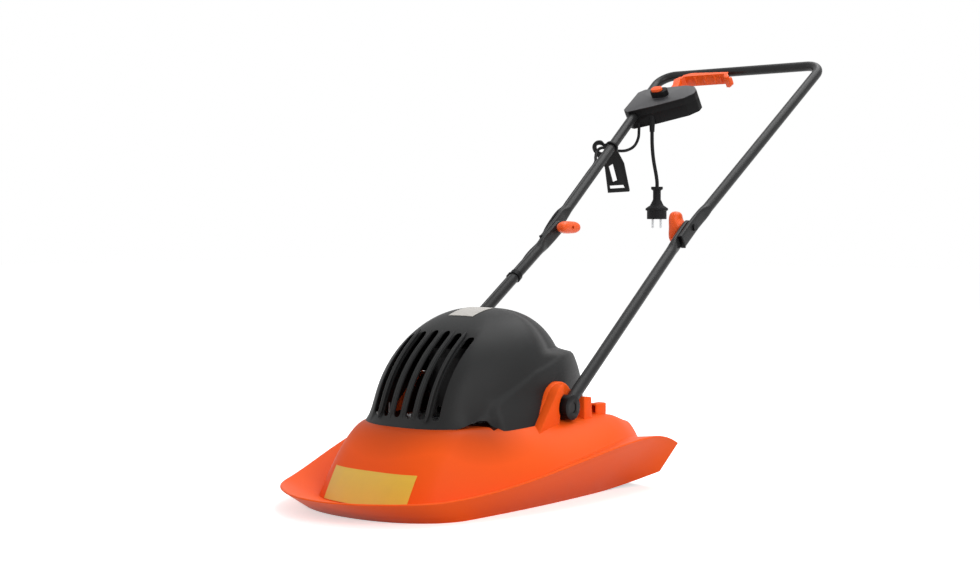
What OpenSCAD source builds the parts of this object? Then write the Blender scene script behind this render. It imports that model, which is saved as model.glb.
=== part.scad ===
// Electric hover mower with a folding U handle.
// Millimetres, +Z up, -Y is the front. Modelled with y = 0 at the handle pivots and z = 0 on the ground,
// then moved so that the origin is under the middle of the whole machine.

/* [Handle] */
// Outside diameter of the handle tubes
tube_d = 19; // [16:0.5:22]
// Wall of the handle tubes
tube_wall = 1.5; // [1:0.1:2.5]
// Half the distance between the lower tubes at the pivots
pivot_half = 156; // [152:1:162]
// Height of the handle pivots
pivot_z = 139; // [134:1:145]
// Slope of the lower tubes at rest
lower_angle = 35; // [33:1:42]
// Length of the lower tubes, pivot to joint bolt
lower_len = 483; // [440:1:520]
// Half the distance between the joint planes of the two tubes
joint_half = 142; // [138:1:146]
// Slope of the upper handle at rest
upper_angle = 35.7; // [33:0.1:42]
// Length of the upper handle, joint bolt to crossbar axis
upper_len = 549; // [520:1:600]
// Half width of the upper handle at its corners
top_half = 184; // [176:1:195]
// Bend radius of the upper handle's corners, at the tube axis
bend_r = 34; // [28:1:40]
// Thickness of a flattened tube end
flat_t = 9; // [7:0.5:11]
// Width of a flattened tube end
flat_w = 25; // [22:0.5:28]
// How far the upper handle's legs reach past the joint bolt
leg_tail = 42; // [34:1:44]

/* [Handle fittings] */
// Diameter of the pivot feet
foot_d = 38; // [36:0.5:38]
// Thickness of the pivot feet
foot_t = 24; // [23:0.5:26]
// Diameter of the pivot bolts
pivot_bolt_d = 8; // [6:0.5:10]
// Diameter of the joint bolts
wing_bolt_d = 6; // [5:0.5:7]
// Span of a wing knob
knob_span = 52; // [44:1:60]
// Depth of a wing knob along its bolt
knob_depth = 26; // [20:1:28]
// Turn of the right wing knob from upright
knob_turn_right = 90; // [0:5:180]

/* [Deck] */
// Wall of the deck moulding
deck_wall = 3; // [2.5:0.1:3.5]
// Front of the rim, ahead of the pivots
rim_front = 391; // [385:1:400]
// Half width of the rim at its widest
rim_half = 250; // [245:1:258]
// Rear edge of the rim, behind the pivots
rim_rear = 179; // [176:1:185]
// Height of the rim at the nose
rim_nose_z = 34; // [30:1:38]
// Height of the rim at its highest, beside the dome's rear
rim_top_z = 91; // [86:1:95]
// Height of the rim at the rear corners
rim_corner_z = 73; // [70:1:78]
// Front of the skirt on the ground
skirt_front = 326; // [320:1:332]
// Half width of the skirt on the ground
skirt_half = 173; // [170:1:176]
// Height of the deck roof that carries the motor
roof_z = 118; // [114:1:122]
// Radius of the air inlet in the deck roof
inlet_r = 66; // [60:1:68]

/* [Hood] */
// Height of the hood's crown
hood_top_z = 287; // [270:1:300]
// Wall of the hood
hood_wall = 2.6; // [2:0.1:3.5]
// Slots in the front grille
slot_count = 6; // [5:1:7]
// Width of a grille slot
slot_w = 13; // [9:0.5:15]
// Distance between grille slots
slot_pitch = 23; // [20:0.5:25]

/* [Motor and blade] */
// Rotor axis, ahead of the pivots
rotor_front = 70; // [64:1:76]
// Radius of the motor can
motor_r = 46; // [42:1:50]
// Height of the motor can
motor_h = 92; // [88:1:100]
// Diameter of the rotor shaft
shaft_d = 12; // [10:0.5:14]
// Length of the blade, tip to tip
blade_len = 298; // [280:1:304]
// Width of the blade
blade_w = 44; // [36:1:50]
// Thickness of the blade
blade_t = 3; // [2:0.5:4]
// Height of the blade's underside over the ground
blade_z = 22; // [20:1:26]
// Radius of the hover impeller
impeller_r = 105; // [95:1:110]
// Number of impeller vanes
vane_count = 9; // [6:1:11]

/* [Switch] */
// Thickness of the switch case
case_t = 42; // [38:1:46]
// Wall of the switch case
case_wall = 2.4; // [2:0.1:3]
// Distance of the lever's floor from the crossbar axis
lever_gap = 25; // [22:0.5:28]
// Reach of the lever along the crossbar, from the case's corner
lever_reach = 178; // [170:1:195]
// Diameter of the mains cord
cord_d = 7.5; // [6:0.5:8.5]
// Diameter of the motor lead
lead_d = 6; // [5:0.5:6.5]
// Diameter of the plug's face
plug_d = 40; // [36:1:44]
// Thickness of the cord hook
hook_t = 5; // [4:0.5:6]

/* [Hidden] */
$fn = 64;

// Colours
orange = [0.96, 0.33, 0.08];
charcoal = [0.17, 0.18, 0.19];
black = [0.08, 0.08, 0.085];
graphite = [0.24, 0.25, 0.26];
steel = [0.72, 0.73, 0.75];
copper = [0.72, 0.42, 0.22];
yellow = [0.95, 0.75, 0.15];
label_grey = [0.6, 0.58, 0.55];

// Clearances
run_gap = 0.05;   // shaft in its bore, on the radius
fit_gap = 0.15;   // pieces of one assembly, on each side
seat_gap = 0.3;   // pieces that pass each other
eps = 0.01;

// Plain maths
function lerp(a, b, t) = a + (b - a) * t;
function clamp01(t) = min(1, max(0, t));
function smooth(t) = let (c = clamp01(t)) c * c * (3 - 2 * c);
function unit(v) = v / norm(v);

// Handle places, in the side view
tube_r = tube_d / 2;
joint_y = lower_len * cos(lower_angle);
joint_z = pivot_z + lower_len * sin(lower_angle);
upper_half = joint_half + fit_gap + flat_t / 2;   // upper leg's axis plane at the joint
lower_half = joint_half - fit_gap - flat_t / 2;   // lower tube's axis plane at the joint
leg_spread = atan2(top_half - upper_half, upper_len);
bar_y = joint_y + upper_len * cos(upper_angle);
mid_y = (bar_y + tube_r - rim_front) / 2;
bracket_out = pivot_half - foot_t / 2 - seat_gap;   // bracket's outer face
bracket_in = bracket_out - 24;
bracket_r = 38;
flat_len = leg_tail + 8;          // flattened part of the lower tube below the joint bolt
foot_socket = 11;                 // tube end's distance from the pivot axis
bolt_head_d = 2 * pivot_bolt_d;

module at_origin() translate([0, -mid_y, 0]) children();
module upper_frame() translate([0, joint_y, joint_z]) rotate([upper_angle, 0, 0]) children();
module x_cylinder(r, x0, x1) translate([x0, 0, 0]) rotate([0, 90, 0]) cylinder(r = r, h = x1 - x0);
module rod(p, q, r) {
    d = q - p;
    translate(p) rotate([0, acos(d[2] / norm(d)), atan2(d[1], d[0])]) cylinder(r = r, h = norm(d));
}
module mirrored() {
    children();
    mirror([1, 0, 0]) children();
}
module ring(r_out, r_in, h) difference() {
    cylinder(r = r_out, h = h);
    translate([0, 0, -1]) cylinder(r = r_in, h = h + 2);
}
module slot2d(len, w) {
    square([len - w, w], center = true);
    for (s = [-1, 1]) translate([s * (len - w) / 2, 0]) circle(d = w);
}

// Closed skin over a stack of rings with equal counts. With no end points the stack closes on itself.
module skin(rings, first = [], last = []) {
    n = len(rings[0]);
    m = len(rings);
    looped = len(first) == 0;
    base = looped ? 0 : 1;
    points = concat(looped ? [] : [first], [for (r = rings, p = r) p], looped ? [] : [last]);
    steps = looped ? m : m - 1;
    sides = [for (j = [0 : steps - 1], i = [0 : n - 1], half = [0, 1])
        let (a = base + j * n, b = base + ((j + 1) % m) * n, k = (i + 1) % n)
        half == 0 ? [a + i, b + i, b + k] : [a + i, b + k, a + k]];
    start_fan = looped ? [] : [for (i = [0 : n - 1]) [0, base + i, base + (i + 1) % n]];
    top = base + (m - 1) * n;
    end_fan = looped ? [] : [for (i = [0 : n - 1]) [top + i, len(points) - 1, top + (i + 1) % n]];
    polyhedron(points = points, faces = concat(sides, start_fan, end_fan), convexity = 8);
}

// Round tube along a route, swept from its own points
function route_dir(p, i) = unit(p[min(i + 1, len(p) - 1)] - p[max(i - 1, 0)]);
function route_ring(p, i, r, sides) =
    let (t = route_dir(p, i), u = unit(cross(abs(t[0]) < 0.9 ? [1, 0, 0] : [0, 1, 0], t)), v = cross(t, u))
    [for (k = [0 : sides - 1]) p[i] + r * (cos(360 * k / sides) * u + sin(360 * k / sides) * v)];
module sweep(p, r, sides) {
    last = len(p) - 1;
    skin([for (i = [0 : last]) route_ring(p, i, r, sides)], p[0], p[last]);
}

// Plan outlines: half a ring from the nose to the middle of the rear edge.
// An outline is [nose y, nose length, half width, widest y, front curve, rear curve, rear y, rear bow, nose power].
nose_n = 8;
flank_n = 12;
rear_n = 5;
half_n = nose_n + flank_n + rear_n;
function flank(o, y) = o[2] - o[4] * pow(min(0, y - o[3]), 2) - o[5] * pow(max(0, y - o[3]), 2);
function nose_point(o, a) =
    let (y = o[0] + o[1] * (1 - pow(cos(a), 2 / o[8]))) [flank(o, y) * pow(sin(a), 2 / o[8]), y];
function outline_point(o, i) =
    i <= nose_n ?
        nose_point(o, 90 * i / nose_n)
    : i <= nose_n + flank_n ?
        let (y = lerp(o[0] + o[1], o[6], (i - nose_n) / flank_n)) [flank(o, y), y]
    :   let (t = (i - nose_n - flank_n) / rear_n) [flank(o, o[6]) * (1 - t), o[6] + o[7] * (1 - pow(1 - t, 2))];
function inset(o, d) = [o[0] + d, o[1], o[2] - d, o[3], o[4], o[5], o[6] - d, o[7], o[8]];
function circle_point(r, y, i) = [r * sin(180 * i / half_n), y - r * cos(180 * i / half_n)];
function mirror_ring(half) = concat(half, [for (i = [half_n - 1 : -1 : 1]) [-half[i][0], half[i][1], half[i][2]]]);
function lift(p, z) = [p[0], p[1], z];

// Deck outlines
rim = [-rim_front, 100, rim_half, 120, 5.6e-4, 5.1e-4, rim_rear, 6, 2.2];
skirt = [-skirt_front, 92, skirt_half, 57, 2.5e-4, -3.5e-3, rim_rear - 7, 6, 2.2];
foot = [-298, 40, 214, 10, 1.36e-3, 1.27e-3, rim_rear - 9, 5, 3.2];
crest = [-209, 46, 158, 150, 5.6e-4, 8.4e-4, rim_rear - 13, 4, 2.8];
hood_base = [-206, 40, 134, -10, 1.75e-3, 1.98e-3, 136, 10, 3];
dome_steps = 4;
dome_power = 1.7;
rim_peak_y = 100;
skirt_lift = 24;
rotor_y = -rotor_front;
land_r = inlet_r + 18;      // flat land round the inlet

function rim_z(y) = lerp(rim_nose_z, rim_top_z, smooth((y + 320) / 420))
    - (rim_top_z - rim_corner_z) * pow(max(0, y - rim_peak_y) / (rim_rear - rim_peak_y), 2);
function skirt_z(o, i) = let (y = outline_point(o, i)[1], t = max(0, y - o[3]) / (o[6] - o[3]))
    i <= nose_n + flank_n ? skirt_lift * t * t : skirt_lift * pow(1 - (i - nose_n - flank_n) / rear_n, 2);
function foot_z(y) = lerp(12, rim_z(min(y, rim_rear)) - 6, smooth((y + 298) / 230));
function crest_z(y) = roof_z + 2 * smooth((y + 206) / 230) - 5 * smooth((y - 80) / 60) - 14 * smooth((y - 115) / 60);
function dome_point(i, q, d = 0) =
    let (a = outline_point(inset(foot, d), i), b = outline_point(inset(crest, d), i), p = lerp(a, b, q))
    lift(p, lerp(foot_z(a[1]), crest_z(b[1]), 1 - pow(1 - q, dome_power)));
function drop(half, d) = [for (p = half) p - [0, 0, d]];
function rim_half_ring(d, dz) = [for (i = [0 : half_n]) let (p = outline_point(inset(rim, d), i))
    lift(p, rim_z(min(outline_point(rim, i)[1], rim_rear)) - dz)];
function skirt_half_ring(d) = [for (i = [0 : half_n]) lift(outline_point(inset(skirt, d), i), skirt_z(skirt, i))];
function dome_half_ring(q, d) = [for (i = [0 : half_n]) dome_point(i, q, d)];
function hood_seat_ring(dz) = [for (i = [0 : half_n]) let (p = outline_point(inset(hood_base, 4), i)) lift(p, crest_z(p[1]) - dz)];
function disc_half_ring(r, z) = [for (i = [0 : half_n]) lift(circle_point(r, rotor_y, i), z)];

module deck_shell() {
    w = deck_wall;
    qs = [for (k = [0 : dome_steps]) k / dome_steps];
    outer = concat(
        [skirt_half_ring(0), rim_half_ring(0, 1), rim_half_ring(w, 0)],
        [for (q = qs) dome_half_ring(q, 0)],
        [hood_seat_ring(0), disc_half_ring(land_r, roof_z), disc_half_ring(inlet_r, roof_z)]);
    inner = concat(
        [disc_half_ring(inlet_r, roof_z - w), disc_half_ring(land_r, roof_z - w), hood_seat_ring(w)],
        [for (k = [dome_steps : -1 : 0]) drop(dome_half_ring(k / dome_steps, 0.6 * w), 1.1 * w)],
        [rim_half_ring(3 * w, 2 * w), skirt_half_ring(w)]);
    skin([for (h = concat(outer, inner)) mirror_ring(h)]);
}

// Handle bracket: a fin beside the hood that carries the pivot bolt, with the low stop under the tube
bracket_foot_z = 102;
module bracket_shape(grow) {
    r = bracket_r + grow;
    circle(r = r);
    polygon([[-78 - grow, bracket_foot_z - pivot_z], [-r * sin(62), r * cos(62)], [0, r], [r * sin(58), r * cos(58)],
             [58 + grow, bracket_foot_z - pivot_z]]);
}
module side_extrude(x0, x1) translate([x0, 0, pivot_z]) rotate([90, 0, 90]) linear_extrude(x1 - x0) children();
stop_y = 36;
stop_w = 20;
// Cheek of the bracket in front of the pivot foot; it stays clear of the tube at its highest place
cheek_t = 15;
module bracket_cheek() side_extrude(bracket_out - 1, bracket_out + cheek_t) difference() {
    intersection() {
        bracket_shape(0);
        polygon([[-90, bracket_foot_z - pivot_z], [-90, 60], [-tube_r - 1.5, 60], [-tube_r - 1.5, 0], [-20, -12],
                 [-24, bracket_foot_z - pivot_z]]);
    }
    circle(r = foot_d / 2 + 4);
}
module low_stop() {
    gap = (tube_r + seat_gap) / cos(lower_angle);
    top = stop_y * tan(lower_angle) - gap;
    side_extrude(bracket_out - 1, bracket_out + foot_t - 3)
        polygon([[stop_y, bracket_foot_z - pivot_z], [stop_y, top],
                 [stop_y + stop_w, top + stop_w * tan(lower_angle) - 16], [stop_y + stop_w + 4, bracket_foot_z - pivot_z]]);
}
lug_x = 148;
lug_y = 98;
screw_r = 2.4;
hood_posts = [[107, -112], [109, 84]];
plate_screw_r = land_r - 8;
module deck() color(orange) difference() {
    union() {
        deck_shell();
        mirrored() {
            side_extrude(bracket_in, bracket_out) bracket_shape(0);
            low_stop();
            bracket_cheek();
            translate([lug_x - 8, lug_y - 14, 100]) cube([16, 28, 36]);
        }
    }
    mirrored() {
        translate([0, 0, pivot_z]) x_cylinder(pivot_bolt_d / 2 + fit_gap, bracket_in - 1, bracket_out + 1);
        translate([lug_x, lug_y, 126]) cylinder(r = 3, h = 20);
        for (p = hood_posts) translate([p[0], p[1], 90]) cylinder(r = screw_r + fit_gap, h = 60);
    }
    for (a = [45 : 90 : 315]) translate([plate_screw_r * cos(a), rotor_y + plate_screw_r * sin(a), 90])
        cylinder(r = screw_r + fit_gap, h = 60);
}
// Labels lie on the skins they belong to
label_gap = 0.3;
label_t = 0.8;
module patch(points, normals, lift_low, lift_high) {
    m = len(points);
    n = len(points[0]);
    low = [for (r = [0 : m - 1], c = [0 : n - 1]) points[r][c] + lift_low * normals[r][c]];
    high = [for (r = [0 : m - 1], c = [0 : n - 1]) points[r][c] + lift_high * normals[r][c]];
    k = m * n;
    grid = [for (r = [0 : m - 2], c = [0 : n - 2]) [r * n + c, r * n + c + 1, (r + 1) * n + c + 1, (r + 1) * n + c]];
    edge = concat([for (c = [0 : n - 1]) c], [for (r = [1 : m - 1]) r * n + n - 1],
                  [for (c = [n - 2 : -1 : 0]) (m - 1) * n + c], [for (r = [m - 2 : -1 : 1]) r * n]);
    tops = [for (g = grid, h = [0, 1]) h == 0 ? [k + g[2], k + g[1], k + g[0]] : [k + g[3], k + g[2], k + g[0]]];
    floors = [for (g = grid, h = [0, 1]) h == 0 ? [g[0], g[1], g[2]] : [g[0], g[2], g[3]]];
    walls = [for (i = [0 : len(edge) - 1], h = [0, 1]) let (a = edge[i], b = edge[(i + 1) % len(edge)])
        h == 0 ? [b, a, k + a] : [b, k + a, k + b]];
    polyhedron(points = concat(low, high), faces = concat(tops, floors, walls));
}
label_half = 79;
label_q = [0.03, 0.13, 0.24, 0.35];
function nose_half(a, q) = lerp(nose_point(foot, a)[0], nose_point(crest, a)[0], q);
function nose_angle(x, q, low, high, left) = let (mid = (low + high) / 2)
    left == 0 ? mid : nose_half(mid, q) < x ? nose_angle(x, q, mid, high, left - 1) : nose_angle(x, q, low, mid, left - 1);
function dome_front(x, q) =
    let (t = nose_angle(abs(x), q, 0, 90, 16), a = nose_point(foot, t)[1], b = nose_point(crest, t)[1])
    [x, lerp(a, b, q), lerp(foot_z(a), crest_z(b), 1 - pow(1 - q, dome_power))];
module front_label() color(yellow) {
    xs = [for (k = [-8 : 8]) label_half * k / 8];
    grid = [for (q = label_q) [for (x = xs) dome_front(x, q)]];
    normal = unit([0, -0.8, 0.6]);
    normals = [for (q = label_q) [for (x = xs) normal]];
    patch(grid, normals, label_gap, label_gap + label_t);
}

// Hood
hood_y = -10;
hood_front_power = 1.75;
hood_rear_power = 2.3;
hood_side_power = 2.7;
hood_foot_gap = 0.4;
hood_step = 0.14;     // ledge round the hood's rear
function hood_scale(h, p) = pow(max(0, 1 - pow(h, p)), 1 / p);
function hood_point(i, h, d) =
    let (b = outline_point(inset(hood_base, d), i), z0 = crest_z(b[1]) + hood_foot_gap,
         ky = hood_scale(h, b[1] < hood_y ? hood_front_power : hood_rear_power),
         step = 1 - hood_step * smooth((h - 0.57) / 0.05) * smooth((b[1] + 30) / 90))
    [b[0] * step * hood_scale(h, hood_side_power), hood_y + (b[1] - hood_y) * step * ky, lerp(z0, hood_top_z - d, h)];
function hood_ring(h, d) = mirror_ring([for (i = [0 : half_n]) hood_point(i, h, d)]);
hood_levels = [0, 0.2, 0.4, 0.57, 0.62, 0.75, 0.86, 0.94, 0.985];
hood_steps = len(hood_levels) - 1;
module hood_shell() {
    n = hood_steps;
    inner = [for (k = [n : -1 : 0]) hood_ring(hood_levels[k], hood_wall)];
    outer = [for (k = [0 : n]) hood_ring(hood_levels[k], 0)];
    skin(concat(inner, outer), [0, hood_y, hood_top_z - hood_wall], [0, hood_y, hood_top_z]);
}
slot_low_z = roof_z + 12;
slot_high_z = hood_top_z - 40;
post_d = 13;
module hood() color(charcoal) difference() {
    union() {
        hood_shell();
        intersection() {
            mirrored() for (p = hood_posts) translate([p[0], p[1], crest_z(p[1]) + 1]) cylinder(d = post_d, h = 30);
            hood_solid();
        }
    }
    for (k = [0 : slot_count - 1]) translate([(k - (slot_count - 1) / 2) * slot_pitch, 0, 0])
        rotate([90, 0, 0]) translate([0, (slot_low_z + slot_high_z) / 2, -hood_y + 70]) rotate(90)
        linear_extrude(160) slot2d(slot_high_z - slot_low_z, slot_w);
    mirrored() {
        side_extrude(bracket_in - 2, bracket_out + 40) bracket_shape(2);
        for (p = hood_posts) translate([p[0], p[1], 90]) cylinder(r = screw_r, h = crest_z(p[1]) + 22 - 90);
    }
    translate([-grommet_x, 0, 0]) grommet_hole();
}
module hood_solid() skin([for (k = [0 : hood_steps]) hood_ring(hood_levels[k], 1)],
    [0, hood_y, roof_z], [0, hood_y, hood_top_z - 1]);
module hood_label() color(label_grey) {
    xs = [for (k = [-3 : 3]) 24 * k / 3];
    ys = [for (k = [0 : 4]) lerp(-84, -16, k / 4)];
    grid = [for (y = ys) [for (x = xs) [x, y, hood_top_at(x, y)]]];
    normals = [for (y = ys) [for (x = xs) [0, 0, 1]]];
    patch(grid, normals, label_gap, label_gap + label_t);
}
// Height of the hood's crown over a point near its middle
function hood_top_at(x, y) =
    let (ry = abs(y - hood_y) / (y < hood_y ? hood_y - hood_base[0] : hood_base[6] - hood_y),
         p = y < hood_y ? hood_front_power : hood_rear_power)
    lerp(roof_z + 2, hood_top_z, pow(1 - pow(ry, p), 1 / p));

module hood_screws() color(steel) mirrored() for (p = hood_posts) {
    under = dome_underside(p[1]);
    translate([p[0], p[1], under - 3]) cylinder(r = 2 * screw_r, h = 3 - seat_gap);
    translate([p[0], p[1], under - 1]) cylinder(r = screw_r - run_gap, h = crest_z(p[1]) + 20 - under);
}
function dome_underside(y) = crest_z(y) - 2.2 * deck_wall;

// Motor, standing on its plate over the inlet
plate_t = 4;
plate_z = roof_z;
can_z = plate_z + plate_t;
cap_z = can_z + motor_h;
cap_h = 14;
hub_r = 17;
bearing_r = 13;
bearing_h = 9;
shaft_r = shaft_d / 2;
window_r = 12;
window_pcd = 40;
module at_rotor(z = 0) translate([0, rotor_y, z]) children();
module motor_plate() color(steel) at_rotor(plate_z) difference() {
    union() {
        cylinder(r = land_r - 2, h = plate_t);
        translate([0, 0, -8]) cylinder(r = hub_r, h = plate_t + 8);
    }
    translate([0, 0, -9]) cylinder(r = bearing_r + fit_gap, h = bearing_h + 1);
    translate([0, 0, -10]) cylinder(r = shaft_r + 1, h = 30);
    for (a = [0 : 60 : 300]) rotate(a) translate([window_pcd, 0, -10]) cylinder(r = window_r, h = 30);
    for (a = [45 : 90 : 315]) rotate(a) translate([plate_screw_r, 0, -1]) cylinder(r = screw_r + fit_gap, h = plate_t + 2);
}
module motor_can() color(steel) at_rotor(can_z) difference() {
    ring(motor_r, motor_r - 2.5, motor_h);
    for (a = [30 : 60 : 330]) rotate([0, 0, a]) translate([motor_r - 6, 0, 12]) rotate([0, 90, 0]) cylinder(r = 6, h = 12);
}
module motor_cap() color(charcoal) at_rotor(cap_z) difference() {
    cylinder(r = motor_r, h = cap_h);
    translate([0, 0, -1]) cylinder(r = bearing_r + fit_gap, h = bearing_h + 1);
    translate([0, 0, -1]) cylinder(r = shaft_r + 1, h = cap_h + 2);
    for (a = [45 : 90 : 315]) rotate(a) translate([30, 0, -1]) cylinder(r = 8, h = cap_h + 2);
}
core_z = can_z + 16;
core_h = 44;
armature_r = motor_r - 17.5;
module stator() color(graphite) at_rotor(core_z) ring(motor_r - 2.5 - fit_gap, armature_r + 1, core_h);
commutator_z = core_z + core_h + 8;
commutator_h = 15;
commutator_r = 13;
brush_w = 7;
brush_reach = motor_r - 3.5;
module brush_pair() for (a = [0, 180]) at_rotor(commutator_z + commutator_h / 2) rotate(a) children();
module brushes() color(black) brush_pair()
    translate([commutator_r + seat_gap, -brush_w / 2, -brush_w / 2]) cube([18, brush_w, brush_w]);
module brush_holders() color([0.7, 0.6, 0.3]) brush_pair() difference() {
    hold = brush_w + 4;
    translate([commutator_r + 4, -hold / 2, -hold / 2]) cube([brush_reach - commutator_r - 4, hold, hold]);
    bore = brush_w + 2 * fit_gap;
    translate([commutator_r, -bore / 2, -bore / 2]) cube([18 + seat_gap, bore, bore]);
}
module bearing() ring(bearing_r, shaft_r + run_gap, bearing_h - fit_gap);
module lower_bearing() color(steel) at_rotor(plate_z - 8) bearing();
module upper_bearing() color(steel) at_rotor(cap_z + fit_gap) bearing();
nut_h = 5;
module plate_screw_places() for (a = [45 : 90 : 315])
    translate([plate_screw_r * cos(a), rotor_y + plate_screw_r * sin(a), 0]) children();
module motor_screws() color(steel) plate_screw_places() {
    translate([0, 0, can_z]) cylinder(r = 2 * screw_r, h = 3);
    translate([0, 0, roof_z - deck_wall - nut_h - 3]) cylinder(r = screw_r, h = deck_wall + nut_h + 3 + plate_t + 1);
}
module motor_nuts() color(steel) plate_screw_places() translate([0, 0, roof_z - deck_wall - nut_h]) difference() {
    cylinder(r = 5, h = nut_h, $fn = 6);
    translate([0, 0, -1]) cylinder(r = screw_r + run_gap, h = nut_h + 2);
}

// Rotor, from the commutator down to the blade bolt
blade_top = blade_z + blade_t;
bolt_r = 4;
spacer_h = 20;
impeller_z = blade_top + spacer_h;
impeller_hub_r = 16;
impeller_disc_z = impeller_z + 16;
vane_h = 34;
module rotor_shaft() color(steel) at_rotor(blade_top) difference() {
    cylinder(r = shaft_r, h = cap_z + cap_h + 3 - blade_top);
    translate([0, 0, -1]) cylinder(r = bolt_r + run_gap, h = 31);
}
module armature() color(copper) at_rotor() {
    translate([0, 0, core_z + 1]) ring(armature_r, shaft_r + run_gap, core_h - 2);
    translate([0, 0, core_z - 6]) ring(armature_r - 6, shaft_r + run_gap, core_h + 12);
}
module commutator() color(copper) at_rotor(commutator_z) ring(commutator_r, shaft_r + run_gap, commutator_h);
module impeller() color(black) at_rotor(impeller_z) difference() {
    union() {
        cylinder(r = impeller_hub_r, h = 48);
        translate([0, 0, 16]) cylinder(r = impeller_r, h = 3);
        for (k = [0 : vane_count - 1]) rotate(360 * k / vane_count) translate([impeller_hub_r - 2, -1.2, 18])
            rotate(-18) cube([impeller_r - impeller_hub_r - 6, 2.4, vane_h - 8]);
    }
    translate([0, 0, -1]) cylinder(r = shaft_r + run_gap, h = 60);
}
module blade_spacer() color(black) at_rotor(blade_top) ring(impeller_hub_r, shaft_r + run_gap, spacer_h);
module blade() color(steel) at_rotor(blade_z) difference() {
    union() {
        linear_extrude(blade_t) difference() {
            slot2d(blade_len, blade_w);
            for (a = [0, 180]) rotate(a) translate([blade_len / 4 + 8, blade_w / 2 + 3]) square([blade_len / 2 - 30, 14], center = true);
        }
        for (a = [0, 180]) rotate(a) translate([blade_len / 2 - 56, -blade_w / 2 + 3, 0]) rotate([28, 0, 0])
            translate([0, -1, 0]) cube([34, blade_t, 12]);
    }
    translate([0, 0, -1]) cylinder(r = bolt_r + run_gap, h = blade_t + 2);
}
module blade_bolt() color(steel) at_rotor(blade_z) {
    translate([0, 0, -2]) cylinder(r = 13, h = 2);
    translate([0, 0, -8]) cylinder(r = 9, h = 7, $fn = 6);
    translate([0, 0, -1]) cylinder(r = bolt_r, h = 29);
}

// Handle pivots
bolt_seat = 6;
module pivot_bolts() color(black) mirrored() translate([0, 0, pivot_z]) {
    head_x = pivot_half + foot_t / 2 - bolt_seat + fit_gap;
    x_cylinder(pivot_bolt_d / 2, bracket_in - 8, head_x + 1);
    x_cylinder(bolt_head_d / 2, head_x, head_x + bolt_seat - 1);
}
module pivot_nuts() color(steel) mirrored() translate([0, 0, pivot_z]) difference() {
    translate([bracket_in - 7, 0, 0]) rotate([0, 90, 0]) cylinder(r = pivot_bolt_d, h = 7, $fn = 6);
    x_cylinder(pivot_bolt_d / 2 + run_gap, bracket_in - 9, bracket_in + 1);
}
lower_dir = unit([lower_half - pivot_half, joint_y, joint_z - pivot_z]);
pivot_point = [pivot_half, 0, pivot_z];
module pivot_foot() color(black) difference() {
    translate([0, 0, pivot_z]) x_cylinder(foot_d / 2, pivot_half - foot_t / 2, pivot_half + foot_t / 2);
    translate([0, 0, pivot_z]) x_cylinder(pivot_bolt_d / 2 + run_gap, pivot_half - foot_t, pivot_half + foot_t);
    translate([0, 0, pivot_z]) x_cylinder(bolt_head_d / 2 + fit_gap, pivot_half + foot_t / 2 - bolt_seat, pivot_half + foot_t);
    rod(pivot_point + foot_socket * lower_dir, pivot_point + foot_d * lower_dir, tube_r + fit_gap);
}
module pivot_foot_left() pivot_foot();
module pivot_foot_right() mirror([1, 0, 0]) pivot_foot();

// Lower tube: round, then flattened beside the upper leg
module tube_flat(t, ahead, behind) rotate([0, 90, 0]) translate([0, 0, -t / 2]) linear_extrude(t) {
    translate([-flat_w / 2, -behind]) square([flat_w, ahead + behind - flat_w / 2]);
    translate([0, ahead - flat_w / 2]) circle(d = flat_w);
}
module lower_tube() color(graphite) difference() {
    joint = [lower_half, joint_y, joint_z];
    round_end = joint - (flat_len + 2) * lower_dir;
    union() {
        difference() {
            rod(pivot_point + foot_socket * lower_dir, round_end, tube_r);
            rod(pivot_point + (foot_socket - 1) * lower_dir, round_end - 12 * lower_dir, tube_r - tube_wall);
        }
        translate(joint) rotate([lower_angle, 0, 0]) tube_flat(flat_t, flat_w / 2, flat_len + 14);
    }
    translate([0, joint_y, joint_z]) x_cylinder(wing_bolt_d / 2 + run_gap, lower_half - 20, lower_half + 20);
}
module lower_tube_left() lower_tube();
module lower_tube_right() mirror([1, 0, 0]) lower_tube();

// Upper handle, drawn in its own plane: X across, Y up the legs
leg_dir = [sin(leg_spread), cos(leg_spread), 0];
leg_start = [upper_half, 0, 0];
leg_top = [top_half, upper_len, 0];
turn = 90 + leg_spread;
bend_tangent = bend_r * tan(turn / 2);
leg_end = leg_top - bend_tangent * leg_dir;
round_from = 56;
bend_swell = 0.1;   // the bends stand a hair proud of the straight tube
module bar_bend(r) translate(leg_end - bend_r * [cos(leg_spread), -sin(leg_spread), 0]) rotate(-leg_spread)
    rotate_extrude(angle = turn) translate([bend_r, 0]) circle(r = r);
module handle_tube(r, from) {
    mirrored() {
        rod(leg_start + from * leg_dir, leg_end + leg_dir, r);
        bar_bend(r + bend_swell);
    }
    bar_half = top_half - bend_tangent + 1;
    rod([-bar_half, upper_len, 0], [bar_half, upper_len, 0], r);
}
plug_depth = 14;
leg_hollow = flat_t - 2 * tube_wall;
module upper_handle() color(graphite) upper_frame() difference() {
    union() {
        handle_tube(tube_r, round_from);
        mirrored() translate(leg_start) tube_flat_open();
    }
    mirrored() {
        rod(leg_start + (round_from + 4) * leg_dir, leg_end - 2 * leg_dir, tube_r - tube_wall);
        x_cylinder(wing_bolt_d / 2 + fit_gap, upper_half - 20, upper_half + 20);
        translate([upper_half - leg_hollow / 2, -leg_tail - 1, 3 - flat_w / 2])
            cube([leg_hollow, leg_tail + round_from + 12, flat_w - 6]);
    }
}
module tube_flat_open() translate([0, (round_from + 14 - leg_tail) / 2, 0])
    cube([flat_t, round_from + 14 + leg_tail, flat_w], center = true);
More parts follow.
